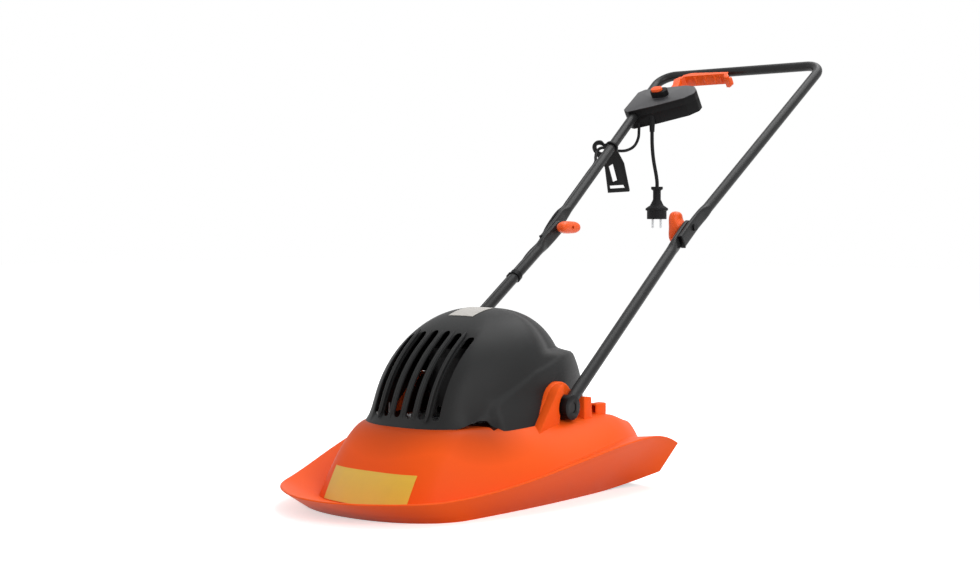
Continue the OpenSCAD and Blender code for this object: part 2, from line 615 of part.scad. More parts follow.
module end_plugs() color(black) upper_frame() mirrored() translate([upper_half, -leg_tail, 0]) {
    translate([0, -1.5, 0]) cube([flat_t, 3, flat_w], center = true);
    translate([0, plug_depth / 2 - 2, 0])
        cube([leg_hollow - 2 * fit_gap, plug_depth, flat_w - 6 - 2 * fit_gap], center = true);
}
knob_x = lower_half - flat_t / 2 - seat_gap;    // knob's outer face
module wing_bolts() color(steel) upper_frame() mirrored() {
    x_cylinder(wing_bolt_d / 2, knob_x - knob_depth + 4, upper_half + flat_t / 2 + 1);
    x_cylinder(wing_bolt_d, upper_half + flat_t / 2, upper_half + flat_t / 2 + 3.5);
}
module wing_knob(turned) color(orange) translate([0, joint_y, joint_z]) rotate([turned, 0, 0]) difference() {
    union() {
        x_cylinder(9, knob_x - knob_depth, knob_x);
        for (s = [-1, 1]) hull() {
            x_cylinder(8, knob_x - knob_depth + 2, knob_x - 4);
            translate([0, 0, s * (knob_span / 2 - 7)]) x_cylinder(7, knob_x - knob_depth, knob_x - 9);
        }
    }
    x_cylinder(wing_bolt_d / 2 + run_gap, knob_x - knob_depth - 4, knob_x + 1);
}
module wing_knob_left() wing_knob(0);
module wing_knob_right() mirror([1, 0, 0]) wing_knob(knob_turn_right);

// Switch case on the right leg. Its outline is given from the handle's right corner:
// across the handle, then down the legs.
case_floor = -26;
case_roof = case_floor + case_t;
case_split = 0;
function corner(a, b) = [a - top_half, upper_len - b];
case_outline = [[-8, 88], [4, 78], [98, 72], [120, 78], [132, 92], [132, 106], [116, 122], [54, 148], [6, 164], [-8, 158]];
leg_lean = leg_spread;
module case_shape(d) offset(r = -d) offset(r = 6) offset(delta = -6) polygon([for (p = case_outline) corner(p[0], p[1])]);
module case_layer(z0, z1, d) translate([0, 0, z0]) linear_extrude(z1 - z0) case_shape(d);
module leg_hole() mirror([1, 0, 0]) rod(leg_start + 200 * leg_dir, leg_top, tube_r + fit_gap);
button_at = corner(51, 107);
button_travel = 4;
lever_pin_at = corner(66, 88);
lever_pin_r = 2.5;
case_screw_places = [corner(24, 88), corner(119, 92), corner(86, 124)];
boss_h = 13;
relief_at = [corner(46, 148)[0], corner(46, 148)[1], -12];
lead_exit = [corner(18, 156)[0], corner(18, 156)[1], -14];
module button_shape(d) {
    translate([-4, 0]) circle(r = 8 - d);
    translate([4, 0]) circle(r = 8 - d);
    square([8, 16 - 2 * d], center = true);
}
module case_posts(z0, z1, r) for (p = case_screw_places) translate([p[0], p[1], z0]) cylinder(r = r, h = z1 - z0);
module lever_window() {
    reach = lever_root_w + 3;
    translate([lever_pin_at[0], lever_pin_at[1], 0]) cylinder(r = reach, h = 2 * lever_half_w + 2, center = true);
    translate([lever_pin_at[0] - reach, lever_pin_at[1], -lever_half_w - 1]) cube([2 * reach, 40, 2 * lever_half_w + 2]);
}
module switch_case_upper() color(black) upper_frame() difference() {
    union() {
        difference() {
            case_layer(case_split, case_roof, 0);
            case_layer(case_split - 1, case_roof - case_wall, case_wall);
        }
        intersection() {
            case_posts(case_split, case_roof - 1, 5);
            case_layer(case_split, case_roof, 0);
        }
        translate([button_at[0], button_at[1], case_roof - 1]) linear_extrude(boss_h + 1) button_shape(-3);
    }
    leg_hole();
    lever_window();
    translate([button_at[0], button_at[1], case_roof - 10]) linear_extrude(boss_h + 20) button_shape(-seat_gap);
    case_posts(case_split - 1, case_roof - 4, 1.5);
    translate([lever_pin_at[0], lever_pin_at[1], 0]) cylinder(r = lever_pin_r + fit_gap, h = case_roof - case_wall);
}
module switch_case_lower() color(black) upper_frame() difference() {
    union() {
        difference() {
            case_layer(case_floor, case_split - eps, 0);
            case_layer(case_floor + case_wall, case_split + 1, case_wall);
        }
        intersection() {
            case_posts(case_floor + 1, case_split - eps, 5);
            case_layer(case_floor, case_split - eps, 0);
        }
        translate([lever_pin_at[0], lever_pin_at[1], case_floor + 1])
            cylinder(r = 6, h = -lever_half_w - 1.2 - case_floor - 1);
    }
    leg_hole();
    lever_window();
    case_posts(case_floor - 1, case_split + 1, 1.8);
    case_posts(case_floor - 1, case_floor + 6, 3.6);
    translate([lever_pin_at[0], lever_pin_at[1], case_floor + 6]) cylinder(r = lever_pin_r + fit_gap, h = case_t);
    translate(relief_at) rotate([-upper_angle, 0, 0]) translate([0, 0, -30]) cylinder(r = relief_neck_r + fit_gap, h = 44);
    translate(lead_exit) rotate([-upper_angle, 0, 0]) translate([0, 0, -30]) cylinder(r = lead_d / 2 + fit_gap, h = 34);
}
module case_screws() color(steel) upper_frame() for (p = case_screw_places) translate([p[0], p[1], case_floor + 1]) {
    cylinder(r = 3.2, h = 5 - fit_gap);
    cylinder(r = 1.5 - run_gap, h = 36);
}
module micro_switch() color(graphite) upper_frame()
    translate([corner(93, 102)[0], corner(93, 102)[1], case_floor + case_wall + 9 + fit_gap]) cube([30, 17, 18], center = true);

// Lever: a channel in front of the crossbar on an arm that turns on a pin in the case
lever_half_w = 12;
lever_wall = 2.2;
lever_root_w = 7;
lever_start = 86;
lever_ridge_pitch = 14;
module switch_lever() color(orange) upper_frame() difference() {
    union() {
        translate([lever_pin_at[0], lever_pin_at[1], -lever_half_w]) cylinder(r = lever_root_w, h = 2 * lever_half_w);
        translate([0, 0, -lever_half_w]) linear_extrude(2 * lever_half_w) lever_arm();
        difference() {
            translate([0, 0, -lever_half_w]) linear_extrude(2 * lever_half_w) lever_channel(0);
            translate([0, 0, -lever_half_w + lever_wall]) linear_extrude(2 * (lever_half_w - lever_wall)) lever_channel(lever_wall);
        }
        translate([0, 0, -lever_half_w]) linear_extrude(2 * lever_half_w) lever_hook();
        for (k = [0 : 3]) translate(concat(corner(112 + k * lever_ridge_pitch, lever_gap + lever_wall), 0))
            cylinder(r = 2, h = 2 * lever_half_w - 4, center = true);
    }
    translate([lever_pin_at[0], lever_pin_at[1], -20]) cylinder(r = lever_pin_r + run_gap, h = 40);
}
module lever_arm() polygon([lever_pin_at + [-lever_root_w, 0], lever_pin_at + [lever_root_w, 0],
    lever_pin_at + [lever_root_w + 2, 24], corner(lever_start - 2, lever_gap + lever_wall + 8), corner(lever_start + 6, lever_gap + lever_wall),
    corner(lever_start + 6, lever_gap), corner(lever_start - 6, lever_gap + 2), corner(lever_start - 18, lever_gap + 12),
    lever_pin_at + [-lever_root_w, 30]]);
module lever_channel(d) polygon([corner(lever_start, lever_gap + lever_wall - d), corner(lever_reach, lever_gap + lever_wall - d),
    corner(lever_reach, 10 - d), corner(lever_start + 16, 10 - d), corner(lever_start, lever_gap - 4 - d)]);
module lever_hook() polygon([corner(lever_reach - 8, lever_gap + lever_wall), corner(lever_reach, lever_gap),
    corner(lever_reach + 8, lever_gap + 12), corner(lever_reach + 6, lever_gap + 18), corner(lever_reach - 2, lever_gap + 16)]);
module lever_pin() color(steel) upper_frame()
    translate([lever_pin_at[0], lever_pin_at[1], case_floor + 6 + fit_gap]) cylinder(r = lever_pin_r, h = case_t - case_wall - 8);
spring_wire = 1;
module coil(r, h, turns, sides) {
    n = 8 * turns;
    sweep([for (k = [0 : n]) [r * cos(360 * k * turns / n), r * sin(360 * k * turns / n), h * k / n]], spring_wire / 2, sides);
}
lever_spring_at = concat(corner(74.3, 82), 0);
module lever_spring() color(steel) upper_frame() translate(lever_spring_at) rotate([0, 90, 0]) coil(4, 12, 5, 6);
module lock_button() color(orange) upper_frame() translate([button_at[0], button_at[1], 0]) {
    translate([0, 0, case_roof - 6]) linear_extrude(boss_h + 6 + 5) button_shape(0);
    translate([0, 0, case_roof - 9]) linear_extrude(3) button_shape(-1.5);
}
module button_spring() color(steel) upper_frame() translate([button_at[0], button_at[1], case_roof - 9 - 11]) coil(4, 10, 5, 6);

// Pigtail: strain relief, cord and plug, hanging straight down
relief_neck_r = 6;
relief_len = 34;
function upper_to_world(p) = [p[0], joint_y + p[1] * cos(upper_angle) - p[2] * sin(upper_angle),
    joint_z + p[1] * sin(upper_angle) + p[2] * cos(upper_angle)];
relief_top = upper_to_world(relief_at);
cord_top = relief_top - [0, 0, relief_len - 6];
module strain_relief() color(black) translate(relief_top - [0, 0, relief_len - 6]) difference() {
    union() {
        translate([0, 0, 0]) cylinder(r1 = cord_d / 2 + 1.2, r2 = relief_neck_r, h = relief_len - 12);
        translate([0, 0, relief_len - 12 - eps]) cylinder(r = relief_neck_r, h = 14);
    }
    translate([0, 0, -1]) cylinder(r = cord_d / 2 + run_gap, h = 9);
}
// The cord's points, from the middle of its end in the strain relief
cord_route = [[0, 0, 6], [0, 0, -8], [0.5, 0, -26], [2, 0.5, -46], [5, 1, -66], [9, 1, -84], [12, 1, -102], [12, 1, -116]];
plug_top = cord_top + cord_route[7];
module mains_cord() color(black) sweep([for (p = cord_route) cord_top + p], cord_d / 2, 10);
plug_len = 62;
pin_shank_r = 1.8;   // the pin is thinner inside the plug
module plug_body() color(black) translate(plug_top) difference() {
    rotate_extrude() polygon([[0, 4], [12, 4], [12, -1], [8, -4], [8, -22], [plug_d / 2 - 6, -34], [plug_d / 2 + 3, -40],
        [plug_d / 2 + 3, -44], [plug_d / 2, -45], [plug_d / 2, -plug_len], [0, -plug_len]]);
    cylinder(r = cord_d / 2 + run_gap, h = 10);
    for (s = [-1, 1]) translate([s * 9.5, 0, -plug_len - 1]) cylinder(r = pin_shank_r + run_gap, h = 13);
}
module plug_pins() color(steel) translate(plug_top) for (s = [-1, 1]) translate([s * 9.5, 0, -plug_len - 19]) {
    translate([0, 0, 2.4]) cylinder(r = pin_shank_r, h = 28);
    translate([0, 0, 2.4]) cylinder(r = 2.4, h = 19 - 2.4 - seat_gap);
    translate([0, 0, 2.4]) sphere(r = 2.4);
}

// Motor lead: out of the case, down the right-hand tubes, round both joints and into the hood
lead_r = lead_d / 2;
lead_off = tube_r + lead_r + 0.4;
function leg_at(s) = let (p = leg_start + s * leg_dir) upper_to_world([-p[0], p[1], p[2]]);
function lower_at(s) = let (p = pivot_point + s * lower_dir) [-p[0], p[1], p[2]];
// The lead's points in the handle's plane, from the case through the hook's ring to the tube's side
hook_s = 276;      // cord hook's place on the right leg, from the joint
lead_drop = [0, -sin(upper_angle), -cos(upper_angle)];
lead_hang = [lead_exit, lead_exit + 18 * lead_drop, [-167, upper_len - 177, -41], [-170, upper_len - 195, -48],
    [-176, (upper_len + hook_s - 161) / 2, -44], [-183, hook_s + 34, -30], [-188.5, hook_s + 16, -13], [-190.5, hook_s, -1],
    [-188, hook_s - 20, 4], [-182, hook_s - 38, 3]];
module lead_upper() color(black) sweep(concat([for (p = lead_hang) upper_to_world(p)],
    [for (s = [220, 186, 152, 118, 84]) leg_at(s) + [-lead_off, 0, 0]]), lead_r, 8);
joint_bulge = 20;
module lead_joint_loop() color(black) sweep([leg_at(84) + [-lead_off, 0, 0], leg_at(66) + [-lead_off, 0, 0],
    leg_at(46) + [-lead_off - 4, -2, 0], leg_at(16) + [-joint_bulge, -6, -8], leg_at(-18) + [-joint_bulge, -6, -16],
    lower_at(lower_len - 66) + [-lead_off - 9, 0, -6], lower_at(lower_len - 92) + [-lead_off - 2, 0, 0],
    lower_at(lower_len - 105) + [-lead_off, 0, 0], lower_at(lower_len - 111.7) + [-lead_off, 0, 0]], lead_r, 8);
module lead_lower() color(black) sweep([for (s = [lower_len - 112, 300, 240, 180, 120]) lower_at(s) + [-lead_off, 0, 0]], lead_r, 8);
grommet_x = 60;
grommet_y = 128;
grommet_z = 160;
lead_in = [-grommet_x, grommet_y + 8, grommet_z];
module lead_pivot_loop() color(black) sweep([lower_at(119.7) + [-lead_off, 0, 0], lower_at(113) + [-lead_off, 0, 0], lower_at(102) + [-lead_off, 4, -2],
    [-pivot_half - 14, 100, 184], [-pivot_half - 6, 124, 168], [-pivot_half + 10, 148, 161], [-pivot_half + 34, 168, 160],
    [-100, 176, grommet_z], [-80, 177, grommet_z], [-68, 173, grommet_z], [-grommet_x - 1.5, 165, grommet_z],
    [-grommet_x, grommet_y + 29, grommet_z], [-grommet_x, grommet_y + 22, grommet_z], lead_in], lead_r, 8);
grommet_len = 24;
module grommet_hole() translate([0, grommet_y - 40, grommet_z]) rotate([-90, 0, 0]) cylinder(r = lead_r + 4 + fit_gap, h = 80);
module lead_grommet() color(black) translate([-grommet_x, grommet_y, grommet_z]) rotate([-90, 0, 0]) difference() {
    cylinder(r = lead_r + 4, h = grommet_len);
    translate([0, 0, -1]) cylinder(r = lead_r + run_gap, h = grommet_len + 2);
}
clip_w = 9;
module lead_clip() difference() {
    union() {
        ring(tube_r + 2.2, tube_r + fit_gap, clip_w);
        translate([-lead_off, 0, 0]) cylinder(r = lead_r + 2, h = clip_w);
    }
    translate([0, 0, -1]) cylinder(r = tube_r + fit_gap, h = clip_w + 2);
    translate([-lead_off, 0, -1]) cylinder(r = lead_r + fit_gap, h = clip_w + 2);
}
module clip_at(p, d) translate(p) rotate([acos(d[2]) * -1, 0, 0]) translate([0, 0, -clip_w / 2]) lead_clip();
module lead_clips() color(black) {
    clip_at(lower_at(150), [0, cos(lower_angle), sin(lower_angle)]);
    clip_at(lower_at(330), [0, cos(lower_angle), sin(lower_angle)]);
}

// Hook for the extension cord, hanging square to the right leg
hook_clip_r = tube_r + 4;
module hook_hole(r, x, y) translate([x, y, -1]) cylinder(r = r, h = hook_t + 2);
module hook_slot(points) translate([0, 0, -1]) linear_extrude(hook_t + 2) polygon(points);
module hook_plate() difference() {
    union() {
        cylinder(r = hook_clip_r, h = hook_t);
        translate([-24, -2, 0]) cylinder(r = 13, h = hook_t);
        linear_extrude(hook_t) polygon([[-32, 4], [-6, 10], [9, -6], [14, -40], [4, -106], [-46, -106], [-31, -44], [-36, -6]]);
    }
    hook_hole(tube_r + seat_gap, 0, 0);
    hook_hole(7.5, -25, -1);
    hook_slot([[-23, -44], [-10, -38], [-14, -78], [-27, -82]]);
    hook_slot([[-37, -89], [-4, -89], [-3, -98], [-39, -98]]);
}
module cord_hook() color(black) upper_frame() translate([-leg_start[0] - hook_s * leg_dir[0], hook_s * leg_dir[1], 0])
    rotate([90, 0, leg_spread]) translate([0, 0, -hook_t / 2]) hook_plate();

at_origin() {
    deck();
    front_label();
    hood();
    hood_label();
    hood_screws();
    motor_plate();
    motor_can();
    motor_cap();
    stator();
    brush_holders();
    brushes();
    lower_bearing();
    upper_bearing();
    motor_screws();
    motor_nuts();
    rotor_shaft();
    armature();
    commutator();
    impeller();
    blade_spacer();
    blade();
    blade_bolt();
    pivot_bolts();
    pivot_nuts();
    pivot_foot_left();
    pivot_foot_right();
    lower_tube_left();
    lower_tube_right();
    upper_handle();
    end_plugs();
    wing_bolts();
    wing_knob_left();
    wing_knob_right();
    switch_case_upper();
    switch_case_lower();
    case_screws();
    micro_switch();
    switch_lever();
    lever_pin();
    lever_spring();
    lock_button();
    button_spring();
    strain_relief();
    mains_cord();
    plug_body();
    plug_pins();
    lead_upper();
    lead_joint_loop();
    lead_lower();
    lead_pivot_loop();
    lead_clips();
    lead_grommet();
    cord_hook();
}
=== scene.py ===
"""Finishes of an electric hover mower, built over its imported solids."""

import math
from collections import namedtuple

import bmesh
import bpy
import numpy as np
from bpy.props import FloatProperty, FloatVectorProperty, IntProperty, PointerProperty
from bpy.types import Operator, Panel, PropertyGroup
from mathutils import Matrix, Vector
from mathutils.bvhtree import BVHTree


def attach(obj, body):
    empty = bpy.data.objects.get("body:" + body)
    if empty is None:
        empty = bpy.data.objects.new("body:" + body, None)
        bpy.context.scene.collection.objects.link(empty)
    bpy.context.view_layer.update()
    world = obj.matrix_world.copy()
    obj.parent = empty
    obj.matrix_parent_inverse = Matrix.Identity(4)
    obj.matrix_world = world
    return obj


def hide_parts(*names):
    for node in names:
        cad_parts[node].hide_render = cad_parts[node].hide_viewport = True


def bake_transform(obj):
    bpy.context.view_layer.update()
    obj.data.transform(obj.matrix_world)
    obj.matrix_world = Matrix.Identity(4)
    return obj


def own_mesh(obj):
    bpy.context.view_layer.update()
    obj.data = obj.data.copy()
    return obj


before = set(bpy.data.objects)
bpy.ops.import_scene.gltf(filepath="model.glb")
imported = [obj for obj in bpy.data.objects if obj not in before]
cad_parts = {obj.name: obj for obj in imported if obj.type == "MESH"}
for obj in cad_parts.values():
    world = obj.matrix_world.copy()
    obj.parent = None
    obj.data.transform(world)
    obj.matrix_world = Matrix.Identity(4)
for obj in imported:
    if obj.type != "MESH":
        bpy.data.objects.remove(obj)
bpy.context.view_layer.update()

bl_info = {
    "name": "Hover mower",
    "version": (1, 0, 0),
    "blender": (4, 5, 0),
    "location": "View3D > Sidebar > Mower",
    "description": "Builds the visible pieces of a hover mower with a folding handle",
    "category": "Object",
}

MM = 0.001

# The working frame is in millimetres, with y measured from the handle pivots.
MID_Y = 229.992
PIVOT_Z = 139.0
JOINT_Y = 395.650
JOINT_Z = 416.037
UPPER_TILT = math.radians(35.7)
LOWER_TILT = math.radians(35.0)
LEG_SPREAD = math.radians(3.89)

# Half widths of the handle at its joints, its pivots and its crossbar, then lengths along its legs
UPPER_HALF = 146.65
LOWER_HALF = 137.35
PIVOT_HALF = 156.0
TOP_HALF = 184.0
UPPER_LEN = 549.0
LEG_TAIL = 42.0
HOOK_S = 276.0
BEND_R = 34.0

# Tube's radius, its half thickness and half width where it is pressed flat, and the fittings of its joints
TUBE_R = 9.5
FLAT_THIN = 4.5
FLAT_WIDE = 12.5
BOLT_HOLE = 3.4
KNOB_HOLE = 3.2
KNOB_IN = 104.0
KNOB_OUT = 132.5

# Lock button's place, across from the handle's right corner and down from the crossbar
BUTTON_A = 51.0
BUTTON_B = 107.0

# Brackets' inner and outer faces, the radius of their fins, and their foot below the pivots
BRACKET_IN = 119.7
BRACKET_OUT = 143.7
FIN_R = 38.0
BRACKET_FOOT = -37.0

# Deck's roof, with the air intake and the motor's seat about the rotor
ROTOR_Y = -70.0
ROOF_Z = 118.0
ROOF_WALL = 3.0
INTAKE_R = 66.0
MOUNT_R = 84.0
CORNER_LIFT = 24.0

# Hood, its slots and the labels
HOOD_TOP = 287.0
HOOD_Y = -10.0
HOOD_WALL = 2.6
SLOT_FOOT = 130.0
SLOT_TOP = 256.0
FRONT_LABEL_HALF = 79.0
HOOD_LABEL_HALF = 24.0

# Plan outlines: y of the nose, half width at the widest y, curves of the flanks, and the bow of the rear edge
Outline = namedtuple("Outline", "nose nose_len half widest front_curve rear_curve rear bow power")
RIM = Outline(-391, 100, 250, 120, 5.6e-4, 5.1e-4, 179, 6, 2.2)
SKIRT = Outline(-326, 92, 173, 57, 2.5e-4, -3.5e-3, 172, 6, 2.2)
FOOT = Outline(-298, 40, 214, 10, 1.36e-3, 1.27e-3, 170, 5, 3.2)
CREST = Outline(-209, 46, 158, 150, 5.6e-4, 8.4e-4, 166, 4, 2.8)
HOOD = Outline(-206, 40, 134, -10, 1.75e-3, 1.98e-3, 136, 10, 3)


def lerp(a, b, t):
    """Value part of the way from a to b."""
    return a + (b - a) * t


def ramp(value, low, high):
    """Smooth step from 0 at low to 1 at high; low may be the greater of the two."""
    c = np.clip((value - low) / (high - low), 0.0, 1.0)
    return c * c * (3.0 - 2.0 * c)


def metres(points):
    """Working-frame millimetres as row-frame metres."""
    out = np.array(points, float).reshape(-1, 3) * MM
    out[:, 1] -= MID_Y * MM
    return out


# Shell curves
NOSE_N, FLANK_N, REAR_N = 34, 64, 18


def flank(o, y):
    """Half width of an outline at y."""
    past = y - o.widest
    return o.half - o.front_curve * np.minimum(0, past) ** 2 - o.rear_curve * np.maximum(0, past) ** 2


def nose_xy(o, a):
    """Point of an outline's nose at the angle a."""
    y = o.nose + o.nose_len * (1 - np.cos(a) ** (2 / o.power))
    return flank(o, y) * np.sin(a) ** (2 / o.power), y


def half_outline(o):
    """Half an outline from the nose to the middle of its rear edge, with the rear share of each point."""
    a = np.linspace(0, math.pi / 2, NOSE_N + 1)
    nx, ny = nose_xy(o, np.minimum(a, math.pi / 2 - 1e-9))
    fy = np.linspace(o.nose + o.nose_len, o.rear, FLANK_N + 1)[1:]
    t = np.linspace(0, 1, REAR_N + 1)[1:]
    x = np.concatenate([nx, flank(o, fy), flank(o, o.rear) * (1 - t)])
    y = np.concatenate([ny, fy, o.rear + o.bow * (1 - (1 - t) ** 2)])
    rear = np.concatenate([np.zeros(NOSE_N + 1 + FLANK_N), t])
    return np.stack([x, y], 1), rear


def inset(o, d):
    """Outline drawn in by d."""
    return o._replace(nose=o.nose + d, half=o.half - d, rear=o.rear - d)


def rim_z(y):
    """Height of the rim's top edge, which falls again at the rear corners."""
    fall = np.clip((y - 100) / (RIM.rear - 100), 0, 1) ** 2
    return lerp(34, 91, ramp(y, -320, 100)) - 18 * fall


def foot_z(y):
    """Height of the trough inside the rim."""
    return lerp(12, rim_z(y) - 6, ramp(y, FOOT.nose, FOOT.nose + 230))


def crest_z(y):
    """Height of the roof's edge."""
    return ROOF_Z + 2 * ramp(y, -206, 24) - 5 * ramp(y, 80, 140) - 14 * ramp(y, 115, 175)


def lifted(xy, z):
    """Plan points with heights."""
    return np.column_stack([xy, np.broadcast_to(z, len(xy))])


def skirt_ring(d):
    """Lower edge of the rim's outer wall, raised at the rear corners."""
    xy, _ = half_outline(inset(SKIRT, d))
    ref, rear = half_outline(SKIRT)
    along = np.clip((ref[:, 1] - SKIRT.widest) / (SKIRT.rear - SKIRT.widest), 0, 1)
    return lifted(xy, CORNER_LIFT * np.where(rear > 0, 1 - rear, along) ** 2)


def rim_ring(d, dz):
    """Rim's top edge, drawn in by d and lowered by dz."""
    ref, _ = half_outline(RIM)
    xy, _ = half_outline(inset(RIM, d))
    return lifted(xy, rim_z(ref[:, 1]) - dz)


def dome_rise(q):
    """Share of the dome's height at the plan share q."""
    return 1 - (1 - q) ** 1.7


def dome_ring(q, d=0.0):
    """Dome between the trough at q 0 and the roof's edge at q 1."""
    a, _ = half_outline(inset(FOOT, d))
    b, _ = half_outline(inset(CREST, d))
    return lifted(lerp(a, b, q), lerp(foot_z(a[:, 1]), crest_z(b[:, 1]), dome_rise(q)))


def seat_ring(dz):
    """Roof just inside the hood's edge, lowered by dz."""
    xy, _ = half_outline(inset(HOOD, 4.0))
    return lifted(xy, crest_z(xy[:, 1]) - dz)


def disc_ring(r, z):
    """Half circle about the rotor, with the same count of points as half an outline."""
    a = np.linspace(0, math.pi, NOSE_N + FLANK_N + REAR_N + 1)
    return np.column_stack([r * np.sin(a), ROTOR_Y - r * np.cos(a), np.full(len(a), z)])


def hood_ring(h, d):
    """Hood's skin at the height share h, drawn in by d."""
    xy, _ = half_outline(inset(HOOD, d))
    front, back, side = (max(0.0, 1 - h**p) ** (1 / p) for p in (1.75, 2.3, 2.7))
    step = 1 - 0.14 * ramp(h, 0.57, 0.62) * ramp(xy[:, 1], -30, 60)
    x = xy[:, 0] * step * side
    y = HOOD_Y + (xy[:, 1] - HOOD_Y) * step * np.where(xy[:, 1] < HOOD_Y, front, back)
    return hood_relief(h, x, y, lerp(crest_z(xy[:, 1]) + 0.4, HOOD_TOP - d, h))


def hood_relief(h, x, y, z):
    """Adds the hood's side crease, the flap before the bracket, the front lip and the sunk grille panel."""
    seam = np.interp(y, [-150, -120, -41, 40, 90], [116, 156, 197, 217, 224])
    flap = ramp(y, -136, -122) * ramp(y, -25, -45) * ramp(z, 166, 108)
    lift = 3.4 * ramp(seam - z, 0, 4.5) + 16 * flap
    lip = 9 * (1 - h) ** 13 * ramp(y, -148, -172)
    arch = 9 * ramp(y, -194, -146) * ramp(y, -130, -139)
    drop = (7 + 7 * ramp(y, -130, -70)) * flap
    panel = 3.2 * ramp(x, 65, 60) * ramp(y, -70, -110) * ramp(h, 0.02, 0.08) * ramp(h, 0.84, 0.72)
    x = x * (1 + lip / 150) + lift * ramp(np.abs(x), 50, 90)
    return np.column_stack([x, y - lip + panel, z + (arch - drop) * (1 - h) ** 6 - 0.3 * lip])


def whole(half):
    """Half ring with its mirror image, as one closed ring."""
    other = half[-2:0:-1] * np.array([-1.0, 1.0, 1.0])
    return np.vstack([half, other])


def upper_point(p):
    """Point of the upper handle's own frame, in the working frame."""
    c, s = math.cos(UPPER_TILT), math.sin(UPPER_TILT)
    return np.array([p[0], JOINT_Y + p[1] * c - p[2] * s, JOINT_Z + p[1] * s + p[2] * c])


# Directions of the upper handle: across, up its slope and off its face
ACROSS = Vector((1, 0, 0))
ALONG = Vector((0, math.cos(UPPER_TILT), math.sin(UPPER_TILT)))
OUTWARD = Vector((0, -math.sin(UPPER_TILT), math.cos(UPPER_TILT)))


def handle_spot(co):
    """Point of the row frame in the upper handle's own frame, in millimetres."""
    y, z = co.y * 1000 + MID_Y - JOINT_Y, co.z * 1000 - JOINT_Z
    c, s = math.cos(UPPER_TILT), math.sin(UPPER_TILT)
    return [co.x * 1000, y * c + z * s, z * c - y * s]


def leg_at(s):
    """Point on the right upper leg, s from the joint."""
    return upper_point([-UPPER_HALF - s * math.sin(LEG_SPREAD), s * math.cos(LEG_SPREAD), 0])


def lower_at(s):
    """Point on the right lower tube, s from the pivot."""
    d = np.array([PIVOT_HALF - LOWER_HALF, 395.65, 277.04])
    return np.array([-PIVOT_HALF, 0, PIVOT_Z]) + s * d / np.linalg.norm(d)


# Mesh helpers
def new_object(name, mesh):
    """Object at the origin, in the scene."""
    obj = bpy.data.objects.new(name, mesh)
    bpy.context.scene.collection.objects.link(obj)
    return obj


def mesh_from(name, points, faces):
    """Mesh of working-frame points, its faces turned outward."""
    mesh = bpy.data.meshes.new(name)
    mesh.from_pydata([tuple(p) for p in metres(points)], [], [tuple(int(i) for i in f) for f in faces])
    work = bmesh.new()
    work.from_mesh(mesh)
    bmesh.ops.remove_doubles(work, verts=work.verts, dist=1e-6)
    bmesh.ops.recalc_face_normals(work, faces=work.faces)
    work.to_mesh(mesh)
    work.free()
    return mesh


def loft(name, rings, first=None, last=None):
    """Skin over rings of equal counts, closed on itself when there are no end points."""
    n, m = len(rings[0]), len(rings)
    looped = first is None
    points = np.vstack(rings)
    faces = []
    for j in range(m if looped else m - 1):
        a, b = j * n, ((j + 1) % m) * n
        faces += [(a + i, a + (i + 1) % n, b + (i + 1) % n, b + i) for i in range(n)]
    if not looped:
        points = np.vstack([points, [first, last]])
        end = (m - 1) * n
        faces += [(n * m, (i + 1) % n, i) for i in range(n)]
        faces += [(n * m + 1, end + i, end + (i + 1) % n) for i in range(n)]
    return mesh_from(name, points, faces)


def baked(obj):
    """Takes an object's modifiers into its mesh."""
    graph = bpy.context.evaluated_depsgraph_get()
    mesh = bpy.data.meshes.new_from_object(obj.evaluated_get(graph))
    obj.modifiers.clear()
    obj.data = mesh
    return obj


def shade(obj, angle=35.0):
    """Smooth shading, kept sharp at edges steeper than the angle."""
    obj.data.shade_smooth()
    obj.data.set_sharp_from_angle(angle=math.radians(angle))
    return obj


def bevelled(obj, width):
    """Rounds an object's hard edges."""
    mod = obj.modifiers.new("Rounded edges", "BEVEL")
    mod.width = width
    mod.segments = 3
    mod.limit_method = "ANGLE"
    mod.angle_limit = math.radians(38.0)
    return baked(obj)


def cut(obj, mesh):
    """Takes a tool's mesh out of an object."""
    tool = new_object("tool", mesh)
    mod = obj.modifiers.new("Opening", "BOOLEAN")
    mod.operation = "DIFFERENCE"
    mod.solver = "EXACT"
    mod.object = tool
    baked(obj)
    bpy.data.objects.remove(tool, do_unlink=True)
    return obj


def spline(points, steps):
    """Smooth line through points, with that many steps between two of them."""
    p = np.array(points, float)
    ends = np.vstack([2 * p[0] - p[1], p, 2 * p[-1] - p[-2]])
    t = np.linspace(0, 1, steps, endpoint=False)[:, None]
    out = []
    for i in range(len(p) - 1):
        a, b, c, d = ends[i : i + 4]
        bend, twist = 2 * a - 5 * b + 4 * c - d, 3 * b - a - 3 * c + d
        out.append(0.5 * (2 * b + (c - a) * t + bend * t**2 + twist * t**3))
    return np.vstack(out + [p[-1:]])


def tube(name, line, radius):
    """Closed tube along a line of working-frame points; radius is one number or one for each point."""
    line = np.array(line, float)
    radii = np.broadcast_to(radius, len(line))
    away = np.gradient(line, axis=0)
    away /= np.linalg.norm(away, axis=1)[:, None]
    side = np.cross(away[0], [0.3, 0.1, 1.0] if abs(away[0][2]) < 0.8 else [1.0, 0.2, 0.0])
    turns = np.linspace(0, 2 * math.pi, 20, endpoint=False)
    rings = []
    for p, t, r in zip(line, away, radii):
        side = side - t * np.dot(side, t)
        side /= np.linalg.norm(side)
        up = np.cross(t, side)
        rings.append(p + r * (np.cos(turns)[:, None] * side + np.sin(turns)[:, None] * up))
    return loft(name, rings, line[0], line[-1])


def rounded(wave, power):
    """Sine or cosine raised to a power, with its sign kept, for rounded boxes."""
    return np.sign(wave) * np.abs(wave) ** power


